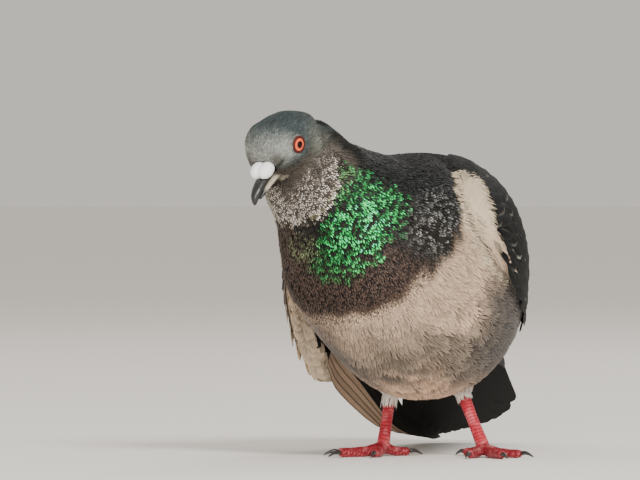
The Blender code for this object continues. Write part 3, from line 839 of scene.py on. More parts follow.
def spread(points, spacing):
    # the points that keep their distance from those before them
    cells, keep = {}, []
    keys = np.floor(points / spacing).astype(int).tolist()
    limit = spacing * spacing
    steps = [(x, y, z) for x in (-1, 0, 1) for y in (-1, 0, 1) for z in (-1, 0, 1)]
    for index, (spot, (kx, ky, kz)) in enumerate(zip(points.tolist(), keys)):
        free = True
        for x, y, z in steps:
            for other in cells.get((kx + x, ky + y, kz + z), ()):
                gap = (spot[0] - other[0]) ** 2 + (spot[1] - other[1]) ** 2 + (spot[2] - other[2]) ** 2
                if gap < limit:
                    free = False
                    break
            if not free:
                break
        if free:
            cells.setdefault((kx, ky, kz), []).append(spot)
            keep.append(index)
    return points[keep]


def sampleForm(share, spacing):
    # scattered roots on the coat's form, no two closer than the spacing
    area = coatSurface["area"] * share
    total = area.sum()
    tries = int(5 * total / spacing**2)
    chosen = dice.choice(len(area), tries, p=area / total)
    a, b = dice.random(tries), dice.random(tries)
    over = a + b > 1
    a[over], b[over] = 1 - a[over], 1 - b[over]
    p = coatSurface["corners"][chosen]
    points = p[:, 0] + a[:, None] * (p[:, 1] - p[:, 0]) + b[:, None] * (p[:, 2] - p[:, 0])
    return spread(points, spacing)


def nearestOn(tree, points):
    found = [tree.find_nearest(point)[:2] for point in points.tolist()]
    return np.array([f[0] for f in found]), np.array([f[1] for f in found])


reach = {
    "wing": 3.2,  # no feather grows where a wing lies this near
    "head": 45,  # feathers this near the head's middle are held against the bill
    "bill": 0.45,  # and left out if they come this near to it
}
perPiece = 190000  # triangles at most
mapDot = 0.003  # the room of one small feather on its map


def makeSurface():
    # the coat's form as triangles, with their places along and round the bird
    triangles = []
    for face in coatForm.data.polygons:
        ring = tuple(face.vertices)
        triangles += [(ring[0], ring[k], ring[k + 1]) for k in range(1, len(ring) - 1)]
    triangles = np.array(triangles)
    corners = formPoints[triangles]
    area = np.linalg.norm(np.cross(corners[:, 1] - corners[:, 0], corners[:, 2] - corners[:, 0]), axis=1) / 2
    shown = np.ones(len(formPoints), bool)
    for index, (point, normal) in enumerate(zip(formPoints.tolist(), formNormals.tolist())):
        start = Vector(point) + Vector(normal) * 0.1 * mm
        if wingTree.ray_cast(start, Vector(normal), reach["wing"] * mm)[0] is not None:
            shown[index] = False
    along, around = readSpine(corners.mean(1))[:2]
    return {
        "area": area * shown[triangles].all(1),  # no root lies under a wing
        "corners": corners,
        "along": along,
        "around": around,
        "leg": legShare(corners.mean(1)),
    }


def clearOfFace(roots, tips):
    # no feather grows out of an eye or the bill, or lies over them
    clear = np.ones(len(roots), bool)
    for sign in (-1, 1):
        centre = inHead(eyeForward, sign * eyeSide, eyeRise)
        axis = eyeAxis(sign)
        for spots in (roots, tips):
            arm = spots - centre
            across = arm @ axis
            off = np.linalg.norm(arm - across[:, None] * axis, axis=1) / mm
            clear &= (off > eye["lidEdge"]) | (across < 0)
    near = np.linalg.norm(roots - headCentre, axis=1) < reach["head"] * mm
    for index in np.flatnonzero(near & clear):
        for spot in (roots[index], tips[index]):
            if billTree.find_nearest(spot.tolist())[3] < reach["bill"] * mm:
                clear[index] = False
    return clear


def roundEyes(places, flow):
    # the flow turns aside at the eyelids
    for sign in (-1, 1):
        reach = places - inHead(eyeForward, sign * eyeSide, eyeRise)
        axis = eyeAxis(sign)
        off = reach - (reach @ axis)[:, None] * axis
        near = np.linalg.norm(off, axis=1) / mm
        share = smoothStep(8.5, 5.5, near) * (reach @ axis > 0)
        inward = np.minimum((flow * unit(off)).sum(1), 0)
        flow = flow - unit(off) * (inward * share * 1.15)[:, None]
    return unit(flow)


def scallops(roots, flow, size):
    # how far each root lies back within its own contour feather, from 0 to 1, and which one it is
    centres = spread(roots[dice.permutation(len(roots))], size)
    tree = KDTree(len(centres))
    for index, centre in enumerate(centres.tolist()):
        tree.insert(centre, index)
    tree.balance()
    found = [tree.find(root) for root in roots.tolist()]
    nearest = np.array([f[0] for f in found])
    return np.clip(((roots - nearest) * flow).sum(1) / size + 0.5, 0, 1), np.array([f[1] for f in found])


def spindles(name, lines, ups, width, style, tintOf, rootMap):
    # small feathers from their start, middle and end points
    start, end = lines[0], lines[2]
    calm = style["calm"]
    spots, normals, shares, across = [start], [ups[0]], [0.0], [0.5]
    for t, wide in quills[style["quill"]]:
        line, way = through(*lines, t)
        level = unit(ups[0] * (1 - t) + ups[1] * t)
        way = unit(way)
        upwards = flattened(level, way)
        beside = np.cross(upwards, way)
        half = (width * wide / 2)[:, None]
        spots += [line - beside * half, line + beside * half, line + upwards * half * 2 * style["ridge"]]
        facing = upwards * (1 - calm) + level * calm
        lean = beside * (1 - calm) * 0.9
        normals += [unit(facing - lean), unit(facing + lean), unit(facing)]
        shares += [t, t, t]
        across += [0.0, 1.0, 0.5]
    points, normals = np.stack((*spots, end), 1), np.stack((*normals, normals[-1]), 1)
    vane = np.stack((across + [0.5], shares + [1.0]), 1)
    tint = tintOf(vane[:, 1])
    bake = rootMap[:, None] + mapDot * (vane - 0.5)[None]
    faces = spindleFaces(len(quills[style["quill"]]))
    number = math.ceil(len(points) * len(faces) / perPiece)
    for k, part in enumerate(np.array_split(np.arange(len(points)), number)):
        label = name if number == 1 else f"{name}_{k + 1}"
        thing = featherMesh(label, points[part], faces, tint[part], vane, bake[part])
        thing.data.normals_split_custom_set_from_vertices(normals[part].reshape(-1, 3).tolist())
        dress(thing, style["finish"])
    print(name, len(points), "strands in", number, "pieces")


def growFeathers(name, share, style, colourOf):
    # each feather is one strand, or a fan of barbs from one root
    roots = sampleForm(share, style["spacing"] * mm)
    barbs = style.get("barbs", 1)
    along, around, flow = readSpine(roots)
    place, normal = nearestOn(coatTree, roots)
    onLeg = legShare(roots)[:, None]
    flow = flow * (1 - onLeg) + np.array((0.0, 0.15, -1.0)) * onLeg
    flow = flattened(roundEyes(place, flow), normal)
    stray = dice.normal(0, style["stray"], len(roots)) + style["swirl"] * ripple(roots, 12 * mm, 11)
    flow = unit(flow + np.cross(normal, flow) * stray[:, None])
    length = style["length"] * mm * dice.uniform(0.78, 1.2, len(roots))
    if "grow" in style:
        length = length * np.interp(collar(along, around), *style["grow"])
    if "scallop" in style:
        phase, cell = scallops(place, flow, style["scallop"] * mm)
    else:
        phase, cell = np.zeros(len(roots)), np.arange(len(roots))
    facts = {"place": place, "along": along, "around": around, "phase": phase}
    facts["chance"] = dice.random(cell.max() + 1)[cell]
    facts["spark"] = dice.random(cell.max() + 1)[cell]
    lift = style["lift"] * (1 + 0.5 * dice.normal(0, 1, len(roots)))
    lift = lift * np.interp(along, *style.get("rise", ((0, 1), (1, 1))))
    lift = lift + style.get("step", 0) * (phase - 0.5) * np.interp(along, (104, 128), (0.7, 1.6))
    across = np.tile(np.linspace(-1, 1, barbs) if barbs > 1 else np.zeros(1), len(roots))
    facts = {key: np.repeat(value, barbs, 0) for key, value in facts.items()}
    repeated = (np.repeat(part, barbs, 0) for part in (place, normal, flow, length, lift))
    place, normal, flow, length, lift = repeated
    if barbs > 1:
        across = across + dice.normal(0, 0.12, len(across))
        side = np.cross(normal, flow)
        place, normal = nearestOn(coatTree, place + side * (across * style["spread"] * mm)[:, None])
        turn = across * style["fan"] + dice.normal(0, 0.08, len(across))
        flow = flattened(unit(flow + side * turn[:, None]), normal)
        length = length * (1 - 0.22 * across**2) * dice.uniform(0.85, 1.1, len(across))
    lift = lift + style.get("ruffle", 0.05) * dice.normal(0, 1, len(lift))
    lift = np.maximum(lift, -0.1) * mm
    width = style["width"] * mm * dice.uniform(0.75, 1.2, len(place))
    depth = coatDepth(place, facts["along"])
    middle, middleNormal = nearestOn(coatTree, place + flow * (length / 2)[:, None])
    ahead = flattened(flow, middleNormal)
    tip, tipNormal = nearestOn(coatTree, middle + ahead * (length / 2)[:, None])
    start = place - normal * depth[:, None]
    centre = middle - middleNormal * (depth * 0.25)[:, None] + middleNormal * (lift * 0.5)[:, None]
    end = tip + tipNormal * lift[:, None]
    order = np.flatnonzero(clearOfFace(place, tip) & (creaseShadeShare(toHead(place)) < 0.6))
    order = order[np.argsort(facts["along"][order], kind="stable")]
    facts = {key: value[order] for key, value in facts.items()}
    rootMap = np.stack((facts["along"] / spine["length"], facts["around"] / 360 + 0.5), 1)
    spindles(name, (start[order], centre[order], end[order]), (normal[order], tipNormal[order]), width[order],
             style, lambda shares: colourOf(facts, shares), rootMap)


def plainTint(rootShade, tipShade, speck, scallop=0.0):
    def colourOf(facts, shares):
        base = markings(facts["place"], facts["along"], facts["around"])
        # painted shade: within each contour feather the root side, under the one before it, is darker and the
        # tip lighter
        scallopShade = scallop * (0.35 + 1.4 * smoothStep(106, 128, facts["along"]))
        each = 1 + speck * dice.normal(0, 1, len(base)) + scallopShade * (facts["phase"] - 0.5)
        each = np.clip(each + scallopShade * 0.8 * (facts["spark"] - 0.5), 0.35, 1.8)
        fade = rootShade + (tipShade - rootShade) * shares**1.5
        return base[:, None] * fade[None, :, None] * each[:, None, None]
    return colourOf


def neckTint(facts, shares):
    # tips with painted glints over dark bases: speckled, then yellow-green, emerald, and maroon in the bib
    place, along, around = facts["place"], facts["along"], facts["around"]
    chance, spark = facts["chance"], facts["spark"][:, None]
    base = markings(place, along, around)
    bend = ripple(place, 8 * mm, 21)
    side, ring = np.abs(around), ringAngle(around)
    back = smoothStep(96, 78, side + 6 * bend)
    green = greenShare(along + 3 * bend, around)
    speckled = smoothStep(43, 48, collar(along, around) + 2 * bend) * (green < 0.3) * (1 - back)
    fading = smoothStep(70, 60, along + 3 * bend) * (along < 70 - 10 * chance)
    yellow = smoothStep(50, 56, along + 3 * bend) * (along < 64) * (1 - back) * smoothStep(165, 150, side)
    # painted glints: emerald tips brightened at random, most in the middle of the green patch
    emerald = tone["green"] + (tone["greenGlint"] - tone["green"]) * spark**1.6
    glintHeart = np.exp(-(((along - 77) / 14) ** 2) - ((side - 117) / 38) ** 2)
    amount = smoothStep(0.3, 0.6, green - 1.0 * (chance - 0.15)) * (0.3 + 0.7 * np.minimum(1, glintHeart * 1.5))
    olive = smoothStep(-7, -1, along - 76 - 2 * bend) * smoothStep(84, 79, along) * smoothStep(156, 168, ring)
    olive = olive * smoothStep(206, 190, ring) * (chance < 0.6)
    flecks = smoothStep(84, 94, along) * smoothStep(112, 92, side) * smoothStep(44, 62, side)
    pale = stripShare(place, bend) * smoothStep(60, 80, along)
    tips = laidOver(base * 1.1, (
        (speckled * fading * (chance < 0.76), tone["speckle"] * (0.65 + 1.0 * spark)),
        (yellow * (chance < 0.35), tone["yellowGreen"] * (0.3 + 0.8 * spark)),
        (green * (chance > 0.6) * 0.6, "gap"),
        (amount, emerald * (0.65 + 1.7 * spark) * (0.5 + 0.75 * glintHeart[:, None])),
        (olive * 0.8, tone["olive"] * (0.4 + 1.2 * spark)),
        (flecks * (chance < 0.5) * 0.75, tone["silver"] * (0.4 + 0.8 * spark)),
        (pale, base),
    ))
    share = smoothStep(0.63, 0.88, shares)[None, :, None]
    # painted glint: each feather's tip brightened or darkened at random
    glint = 1 + 0.3 * dice.normal(0, 1, (len(place), 1, 1)) * share
    dark = blendTo(np.minimum(base, tips * 0.12 + 0.004), np.maximum(pale, speckled * fading * 0.5), base)
    tint = dark[:, None] * (1 - share) + tips[:, None] * share
    return tint * np.clip(glint, 0.35, 1.9)


# what pale and dark feathers have in common, and what each part of the body makes of it
pale = {"finish": "down", "slot": "plumage_pale", "quill": "hair"}
dark = {"finish": "slate", "slot": "plumage_slate", "quill": "barb", "lift": 0.12, "ridge": 0.12, "calm": 0.4,
        "swirl": 0.1, "width": 0.7, "spacing": 2.1, "barbs": 8}
zones = {
    "face": {**dark, "spacing": 0.52, "length": 1.9, "width": 0.5, "lift": 0.04, "quill": "hair",
             "stray": 0.14, "barbs": 1, "grow": ((0, 18, 46, 62), (0.6, 0.8, 1.3, 2))},
    "throat": {**dark, "spacing": 0.82, "length": 2.6, "width": 0.38, "lift": 0.15, "ridge": 0.15,
               "calm": 0.3, "stray": 0.2, "swirl": 0.2, "barbs": 3, "spread": 0.25, "fan": 0.2,
               "grow": ((43, 62), (0.75, 1.3))},
    "neck": {"finish": "hackle", "slot": "plumage_neck", "quill": "barb", "spacing": 1.15, "length": 4.2,
             "width": 0.52, "lift": 0.25, "ridge": 0.15, "calm": 0.25, "stray": 0.14, "swirl": 0.15,
             "barbs": 4, "spread": 0.42, "fan": 0.12, "rise": ((52, 78), (0.1, 1))},
    "breast": {**pale, "spacing": 0.62, "length": 4.6, "width": 0.5, "lift": 0.1, "ridge": 0.14, "calm": 0.75,
               "stray": 0.22, "swirl": 0.4, "scallop": 4.5, "step": 0.3, "ruffle": 0.08},
    "mantle": {**dark, "length": 7.5, "stray": 0.08, "spread": 1.7, "fan": 0.08},
    "rump": {**dark, "length": 7, "stray": 0.1, "spread": 1.5, "fan": 0.12},
    "vent": {**pale, "spacing": 1.3, "length": 15, "width": 0.8, "lift": 0.6, "ridge": 0.14, "calm": 0.6,
             "stray": 0.12, "swirl": 0.15},
    "thigh": {**pale, "spacing": 0.66, "length": 4, "width": 0.55, "lift": 0.2, "ridge": 0.14, "calm": 0.6,
              "stray": 0.25, "swirl": 0.2},
    "fringe": {**pale, "ridge": 0.14, "calm": 0.6},
}


def coverBody():
    along, around, onLeg = coatSurface["along"], coatSurface["around"], coatSurface["leg"]
    side = np.abs(around)
    throat = collar(along, around)
    trunk = onLeg < 0.5
    dorsal = side < 27 + 40 * smoothStep(116, 132, along)
    strip = stripShare(coatSurface["corners"].mean(1), 0) > 0.5
    nape = (side < 80) & (along < 61)
    breast = ((along >= 99) & ~dorsal) | (strip & (along > 60))
    grown = (
        ("face", ((throat < 46) | nape) & trunk, plainTint(0.75, 1.08, 0.2)),
        ("throat", (throat >= 44) & (along < 57) & ~nape, neckTint),
        ("neck", (along >= 55) & (along < 104) & ~strip & ~nape, neckTint),
        ("breast", breast & trunk, plainTint(0.8, 1.06, 0.09, 0.4)),
        ("mantle", (along >= 100) & dorsal & (along < 185), plainTint(0.6, 1.15, 0.12)),
        ("rump", (along >= 180) & dorsal, plainTint(0.6, 1.1, 0.12)),
        ("vent", (along > 168) & (side > 80) & (onLeg < 0.1), plainTint(0.8, 1.05, 0.1)),
        ("thigh", onLeg >= 0.3, plainTint(0.85, 1.04, 0.08)),
    )
    for zone, share, colourOf in grown:
        growFeathers(zone + "_feathers", share, zones[zone], colourOf)


seams = {  # along each wing: how many strands, from and to on the line, and how far they reach
    "fringe": {"count": {"left": 9000, "right": 1500}, "zone": "fringe",
               "length": 5.5, "width": 0.5, "way": (0.12, 0.6, -0.75), "lead": 6,
               "from": {"left": 0.02, "right": 0.05}, "to": {"left": 0.8, "right": 0.5},
               "reach": ((0, 0.12, 0.3, 0.5, 0.65, 0.8), (1, 3, 3, -0.5, -4, -5)),
               "stop": ((76, 88, 100, 108), (-24, -45, -50, 99))},
    "scapulars": {"count": {"left": 2200, "right": 1600}, "zone": "mantle",
                  "length": 8, "width": 0.8, "way": (0.3, 0.9, -0.2), "lead": 6,
                  "from": {"left": 0.13, "right": 0.1}, "to": {"left": 0.62, "right": 0.5},
                  "reach": ((0, 1), (1, 3)), "stop": ((0, 1), (999, 999))},
}


def makeShoulders():
    # one smooth surface over the body and the wings' fronts
    solids = fleshNodes + ("coverts_left", "coverts_right")
    cover = remeshed(copyOf("shoulders", solids), "shoulders")
    tree = surfaceTree(cover.data)
    bpy.data.objects.remove(cover)
    return tree


def makeSeam(kind, sideName):
    # soft feathers of the breast and shoulder that lie over the wing's edge
    plan = seams[kind]
    count, sign = plan["count"][sideName], 1 if sideName == "left" else -1
    if kind == "fringe":
        line = wingFront[sideName]
    else:
        line = [(row[1], row[0], row[2]) for row in wingRows[sideName]]
    line = placed(curveThrough(line, 60)[:, :3])
    share = dice.uniform(plan["from"][sideName], plan["to"][sideName], count)
    spot = share * (len(line) - 1)
    near = np.minimum(spot.astype(int), len(line) - 2)
    edge = line[near] + (line[near + 1] - line[near]) * (spot - near)[:, None]
    way = unit(np.array(plan["way"]) * (sign, 1, 1) + dice.normal(0, 0.14, (count, 3)))
    lead = dice.uniform(-plan["lead"], np.interp(share, *plan["reach"]), count) * mm
    first = edge + dice.normal(0, 1.2 * mm, (count, 3)) + way * lead[:, None]
    length = plan["length"] * mm * dice.uniform(0.6, 1.2, count)[:, None]
    tip = (first + way * length - shift) / mm
    kept = tip[:, 1] < np.interp(tip[:, 2], *plan["stop"])
    first, run, share = first[kept], (way * length)[kept], share[kept]
    lines, ups = [], []
    for part, height in ((0, -1.0), (0.5, 0.0), (1, 0.25)):
        place, normal = nearestOn(shoulderTree, first + run * part)
        lines.append(place + normal * height * mm)
        ups.append(normal)
    count = len(share)
    tint = np.repeat(tone["mantle"][None], count, 0)
    if kind == "fringe":
        tint = blendTo(tone["strip"], smoothStep(0.45, 0.75, share), tone["breast"])
    base = tint[:, None] * dice.uniform(0.72, 1.06, (count, 1, 1))
    rootMap = np.stack((0.3 + 0.3 * share, 0.4 + 0.2 * dice.random(count)), 1)
    width = np.full(count, plan["width"] * mm)
    spindles(f"{kind}_{sideName}", lines, (ups[0], ups[2]), width, zones[plan["zone"]],
             lambda shares: base * (0.8 + 0.2 * shares)[None, :, None], rootMap)


cuff = {"tufts": 300, "radius": 3.1, "length": 4.4, "width": 0.6, "flare": 0.22,
        "top": {"left": 32, "right": 29.5}, "foot": {"left": 27.5, "right": 24.5}}


def makeCuff(sideName):
    # the white frill where the feathers end over the bare shank
    hock, ankle = placed(legs[sideName]["hock"]), placed(legs[sideName]["middle"])
    down = unit(ankle - hock)
    count = cuff["tufts"]
    turn = dice.uniform(0, math.tau, count)
    out = np.stack((np.cos(turn), np.sin(turn), np.zeros(count)), 1)
    out = unit(out - (out @ down)[:, None] * down)
    height = dice.uniform(cuff["foot"][sideName], cuff["top"][sideName], count) * mm
    root = hock + down * ((hock[2] - height) / -down[2])[:, None] + out * cuff["radius"] * mm
    length = cuff["length"] * mm * dice.uniform(0.7, 1.15, count)[:, None]
    centre = root + (down * 0.5 + out * cuff["flare"] * 0.45) * length
    end = root + (down * 0.95 + out * cuff["flare"] * 0.5) * length
    base = tone["cuff"] * dice.uniform(0.8, 1.05, (count, 1, 1))
    rootMap = np.stack((0.1 + 0.8 * turn / math.tau, 0.2 + 0.12 * (height / mm - cuff["foot"]["right"])), 1)
    width = np.full(count, cuff["width"] * mm)
    spindles("cuff_" + sideName, (root, centre, end), (out, out), width, zones["thigh"],
             lambda shares: base * (0.88 + 0.12 * shares)[None, :, None], rootMap)


def sheetFromRows(rows):
    # returns place and outward normal at u along the rows and v from the upper to the lower edge
    dense = curveThrough(rows, 160)
    outSign = 1.0 if np.mean(dense[:, 3]) > 0 else -1.0

    def sheetAt(u, v):
        spot = np.clip(u, 0, 1) * (len(dense) - 1)
        low = np.minimum(spot.astype(int), len(dense) - 2)
        row = dense[low] + (dense[low + 1] - dense[low]) * (spot - low)[..., None]
        over = (u - np.clip(u, 0, 1))[..., None]
        end = np.where(over > 0, dense[-1] - dense[-2], dense[1] - dense[0]) * (len(dense) - 1)
        row = row + end * over
        place, down = through(*(row[..., [k, 0, k + 1]] for k in (1, 3, 5)), v[..., None])
        away = unit(np.stack((-down[..., 2], np.zeros(v.shape), down[..., 0]), -1))
        away *= np.where(away[..., :1] * outSign < 0, -1.0, 1.0)
        share = np.abs(2 * np.clip(v, 0, 1) - 1)
        half = row[..., 7] / 2 * (0.35 + 0.65 * np.sqrt(1 - share * share))
        return placed(place), away, half * mm

    return sheetAt


def tailSheet():
    roll = math.radians(tailFan["roll"])
    back = -heading(-tailFan["yaw"], tailFan["pitch"])
    yaw = math.radians(-tailFan["yaw"])
    side = np.array((math.cos(yaw), -math.sin(yaw), 0.0))
    up = np.cross(side, back)
    side, up = side * math.cos(roll) + up * math.sin(roll), up * math.cos(roll) - side * math.sin(roll)
    base = placed(tailFan["base"])

    def sheetAt(u, v):
        share = 2 * v - 1
        near, far = tailFan["halfWidth"]
        half = near + (far - near) * np.clip(u, 0, 1.2) ** 1.3
        fall = tailFan["camber"] * share**2 * (0.35 + 0.65 * u)
        place = base + (u * tailFan["length"] * mm)[..., None] * back
        place = place + (half * share * mm)[..., None] * side - (fall * mm)[..., None] * up
        return place, np.broadcast_to(up, place.shape), np.full(u.shape, 0.8 * mm)

    return sheetAt


def plateFaces(rows, columns):
    faces = []
    under = rows * columns
    for r in range(rows - 1):
        for c in range(columns - 1):
            a = r * columns + c
            faces.append((a, a + 1, a + columns + 1, a + columns))
            faces.append((under + a, under + a + columns, under + a + columns + 1, under + a + 1))
    rim = [r * columns for r in range(rows)] + [(rows - 1) * columns + c for c in range(1, columns)]
    rim += [r * columns + columns - 1 for r in range(rows - 2, -1, -1)]
    rim += list(range(columns - 2, 0, -1))
    for a, b in zip(rim, rim[1:] + rim[:1]):
        faces.append((a, b, under + b, under + a))
    return np.array(faces)


def stretch(sheetAt, u, v):
    # millimetres for one unit of u and of v
    step = 0.01
    here = sheetAt(u, v)[0]
    alongU = np.linalg.norm(sheetAt(u + step, v)[0] - here, axis=-1) / step / mm
    alongV = np.linalg.norm(sheetAt(u, v + step)[0] - here, axis=-1) / step / mm
    return alongU, alongV


def vaneField(name, sheetAt, feathers, shape, tintOf, replaced=(), outer=True):
    # one flat feather for each row of the feathers' arrays; width and base are in millimetres
    u0, u1, v0 = (feathers[key][:, None] for key in ("u0", "u1", "v0"))
    count = len(u0)
    rows, columns = shape["rows"], shape["columns"]
    t = np.linspace(0, 1, rows) ** 0.8
    x = np.linspace(-1, 1, columns)
    taper, root = shape.get("taper", 0.72), shape.get("root", 0.55)
    ends = np.clip((t - taper) / (1 - taper), 0, 1)
    outline = np.sqrt(np.clip(1 - ends**2.0 * 0.97, 0, 1)) * (root + (1 - root) * smoothStep(0, 0.35, t))
    u = u0 + (u1 - u0) * t
    middleV = v0 + feathers["drift"][:, None] * t
    alongV = stretch(sheetAt, u, middleV)[1]
    half = feathers["width"][:, None] / 2 * outline
    v = middleV[..., None] + x * (half / np.maximum(alongV, 1.0))[..., None]
    place, away, halfThick = sheetAt(np.broadcast_to(u[..., None], v.shape), np.clip(v, -0.12, 1.12))
    sign = 1.0 if outer else -1.0
    height = feathers["base"][:, None, None] + shape["lift"] * t[:, None]
    height = height + shape["tilt"] * x - shape["camber"] * x**2
    top = place + away * (sign * (halfThick * shape["onTop"] + height * mm))[..., None]
    thin = shape["thick"] * mm * (1 - 0.6 * np.abs(x)) * (1 - 0.5 * t[:, None])
    bottom = top - away * (sign * thin)[..., None]
    points = np.concatenate((top.reshape(count, -1, 3), bottom.reshape(count, -1, 3)), 1)
    shares, across = np.tile(np.repeat(t, columns), 2), np.tile(x, 2 * rows)
    isUnder = np.repeat((0.0, 1.0), rows * columns)
    tint = tintOf(feathers, shares, across, isUnder)
    vane = np.stack((across * 0.5 + 0.5, shares), 1)
    if "large" in shape:
        wide = math.ceil(math.sqrt(count))
        cell = np.stack((np.arange(count) % wide, np.arange(count) // wide), 1)
        inside = np.stack((vane[:, 0] * 0.48 + isUnder * 0.5, vane[:, 1]), 1)
        bake = (cell[:, None] + 0.08 + 0.84 * inside[None]) / wide
    else:
        corner = 0.03 + 0.94 * np.clip(np.hstack((u0, v0)), 0, 1)
        bake = corner[:, None] + mapDot * (vane - 0.5)[None]
    print(name, count, "vanes")
    thing = featherMesh(name, points, plateFaces(rows, columns), tint, vane, bake)
    dress(thing, shape["finish"], replaced)


def coverPlate(name, sheetAt, thinner, colours, replaced, frontShade):
    # the thin body of a wing under its feathers
    rows, columns = 60, 20
    u, v = np.meshgrid(np.linspace(0, 1, rows), np.linspace(0.02, 0.98, columns), indexing="ij")
    place, away, half = sheetAt(u, v)
    half = np.maximum(half - thinner * mm, 0.15 * mm)[..., None]
    sides = (place + away * half, place - away * half)
    points = np.concatenate([part.reshape(-1, 3) for part in sides])[None]
    tint = np.repeat(np.array(colours), rows * columns, 0)[None]
    front = smoothStep(0.1, 0.06, np.tile(u.ravel(), 2)) * (np.tile(v.ravel(), 2) < 0.5) * frontShade
    tint = blendTo(tint, front[None], tone["strip"])
    maps = np.tile(np.stack((u.ravel(), v.ravel()), 1), (2, 1))
    maps[rows * columns :, 0] = 0.5 + maps[rows * columns :, 0] / 2
    maps[: rows * columns, 0] /= 2
    thing = featherMesh(name, points, plateFaces(rows, columns), tint, maps, maps)
    dress(thing, "skin", replaced)


wing = {
    "firstLength": 7,  # of the coverts, from the shoulder back
    "lastLength": 24,
    "covertEnd": 0.72,
    "secondaries": 10,
    "primaries": 7,
}


def covertPlaces(sheetAt, firstU, lastU, shortest, longest, vRange, aspect=0.62):
    # rows of small feathers, each row over half of the next
    found = []
    u, row = firstU, 0
    while u < lastU:
        share = (u - firstU) / (lastU - firstU)
        length = shortest + (longest - shortest) * share**1.2
        width = length * aspect
        alongU, alongV = stretch(sheetAt, np.array([u]), np.array([0.5]))
        number = max(3, int((vRange[1] - vRange[0]) * alongV[0] / (width * 0.62)))
        for i in range(number):
            step = i + 0.5 * (row % 2) + dice.uniform(-0.12, 0.12)
            v = vRange[0] + (vRange[1] - vRange[0]) * step / number
            found.append((u + dice.uniform(-0.2, 0.2) * length / alongU[0] * 0.3, length, v, width))
        u += length * 0.5 / alongU[0]
        row += 1
    table = np.array(found)
    alongU = stretch(sheetAt, table[:, 0], table[:, 2])[0]
    count = len(table)
    return {
        "u0": table[:, 0],
        "u1": table[:, 0] + table[:, 1] * dice.uniform(0.9, 1.12, count) / alongU,
        "v0": table[:, 2],
        "width": table[:, 3] * dice.uniform(0.9, 1.1, count),
        "base": dice.uniform(-0.1, 0.1, count),
        "drift": dice.normal(0.0, 0.012, count),
    }


def wingTint(feathers, shares, across, isUnder):
    # near-black vanes, some with a pale streak or edge
    count = len(feathers["u0"])
    base = tone["wing"] * (0.8 + 0.5 * dice.random((count, 1, 1)))
    tint = base * (0.75 + 0.35 * shares)[None, :, None] * np.ones((count, 1, 1))
    marked = (dice.random(count) < 0.3)[:, None]
    sideOf = dice.choice((-1.0, 1.0), (count, 1))
    streak = smoothStep(0.5, 1.0, across[None] * sideOf) * smoothStep(0.4, 0.7, shares)[None]
    tint = blendTo(tint, streak * marked * dice.uniform(0.15, 0.8, (count, 1)) ** 1.5, tone["wingPale"])
    border = np.interp(feathers["v0"], (0, 0.1, 0.22, 0.33, 0.43, 0.58, 1),
                       (0.13, 0.11, 0.08, 0.045, 0.01, -0.01, 0.02))
    front = smoothStep(0.015, -0.015, feathers["u0"] - border)[:, None] * (1 - shares * 0.5)[None]
    tint = blendTo(tint, front, tone["strip"] * 0.8)
    rim = smoothStep(0.86, 1.0, np.maximum(np.abs(across), shares))[None] * np.ones((count, 1))
    tint = blendTo(tint, rim * 0.04, tone["silver"])
    under = isUnder[None] * (feathers["lined"] * (feathers["v0"] > 0.75))[:, None]
    return blendTo(tint, under, tone["lining"])


def liningTint(feathers, shares, across, isUnder):
    # pale along the wing's lower edge, and dark further in as painted shade of the gap between the wing and
    # the belly
    count = len(feathers["u0"])
    # painted shade: the lining's inner part takes the dark wing tone
    inward = smoothStep(0.88, 0.84, feathers["v0"] + dice.normal(0, 0.01, count))
    base = blendTo(np.repeat(tone["lining"][None], count, 0), inward, tone["wing"])[:, None]
    base = base * (0.85 + 0.2 * dice.random((count, 1, 1)))
    return base * (0.92 + 0.1 * shares)[None, :, None]


def flightTint(outerTone, innerTone, barred=0.0, paleFrom=0.0):
    def tintOf(feathers, shares, across, isUnder):
        count = len(feathers["u0"])
        top = tone[outerTone] * (0.85 + 0.3 * dice.random((count, 1, 1)))
        low = tone[innerTone] * (0.85 + 0.3 * dice.random((count, 1, 1)))
        low = np.where((feathers["v0"] < paleFrom)[:, None, None], tone["wing"], low)
        tint = top * (1 - isUnder)[None, :, None] + low * isUnder[None, :, None]
        shaft = (np.abs(across) < 0.13)[None, :, None]
        tint = np.where(shaft, tint * 0.45, tint)
        edge = smoothStep(0.8, 1.0, np.abs(across))[None] * np.ones((count, 1))
        return blendTo(tint, edge * barred, tone["gap"])
    return tintOf


def featherRow(u0, u1, v0, width, base, drift=0.0):
    # the long feathers of a wing or the tail, from the given ends and widths
    count = len(v0)
    return {"u0": np.full(count, u0), "u1": u1, "v0": v0, "width": np.full(count, width), "base": base,
            "drift": np.zeros(count) + drift}


# what small and long vanes have in common
small = {"columns": 5, "finish": "covert", "slot": "feather_dark", "onTop": 0.8}
long = {"columns": 9, "finish": "flight", "slot": "feather_dark", "large": True}
shapes = {  # millimetres; onTop is the share of the sheet's thickness that lies under the feathers
    "covert": {**small, "rows": 6, "lift": 0.9, "tilt": 0.2, "camber": 0.35, "thick": 0.35},
    "lining": {**small, "rows": 5, "tilt": 0.15, "camber": 0.3, "thick": 0.3, "slot": "plumage_pale"},
    "secondary": {**long, "rows": 22, "lift": 0.5, "tilt": -0.25, "camber": 0.3, "thick": 0.4, "onTop": 0.8,
                  "taper": 0.86},
    "primary": {**long, "rows": 24, "lift": 0.2, "tilt": 0.2, "camber": 0.25, "thick": 0.4, "onTop": 0.6,
                "taper": 0.8},
    "tail": {**long, "rows": 24, "lift": 0.1, "tilt": 0, "camber": 0.25, "thick": 0.45, "onTop": 0.4,
             "taper": 0.9, "root": 1.6},
}


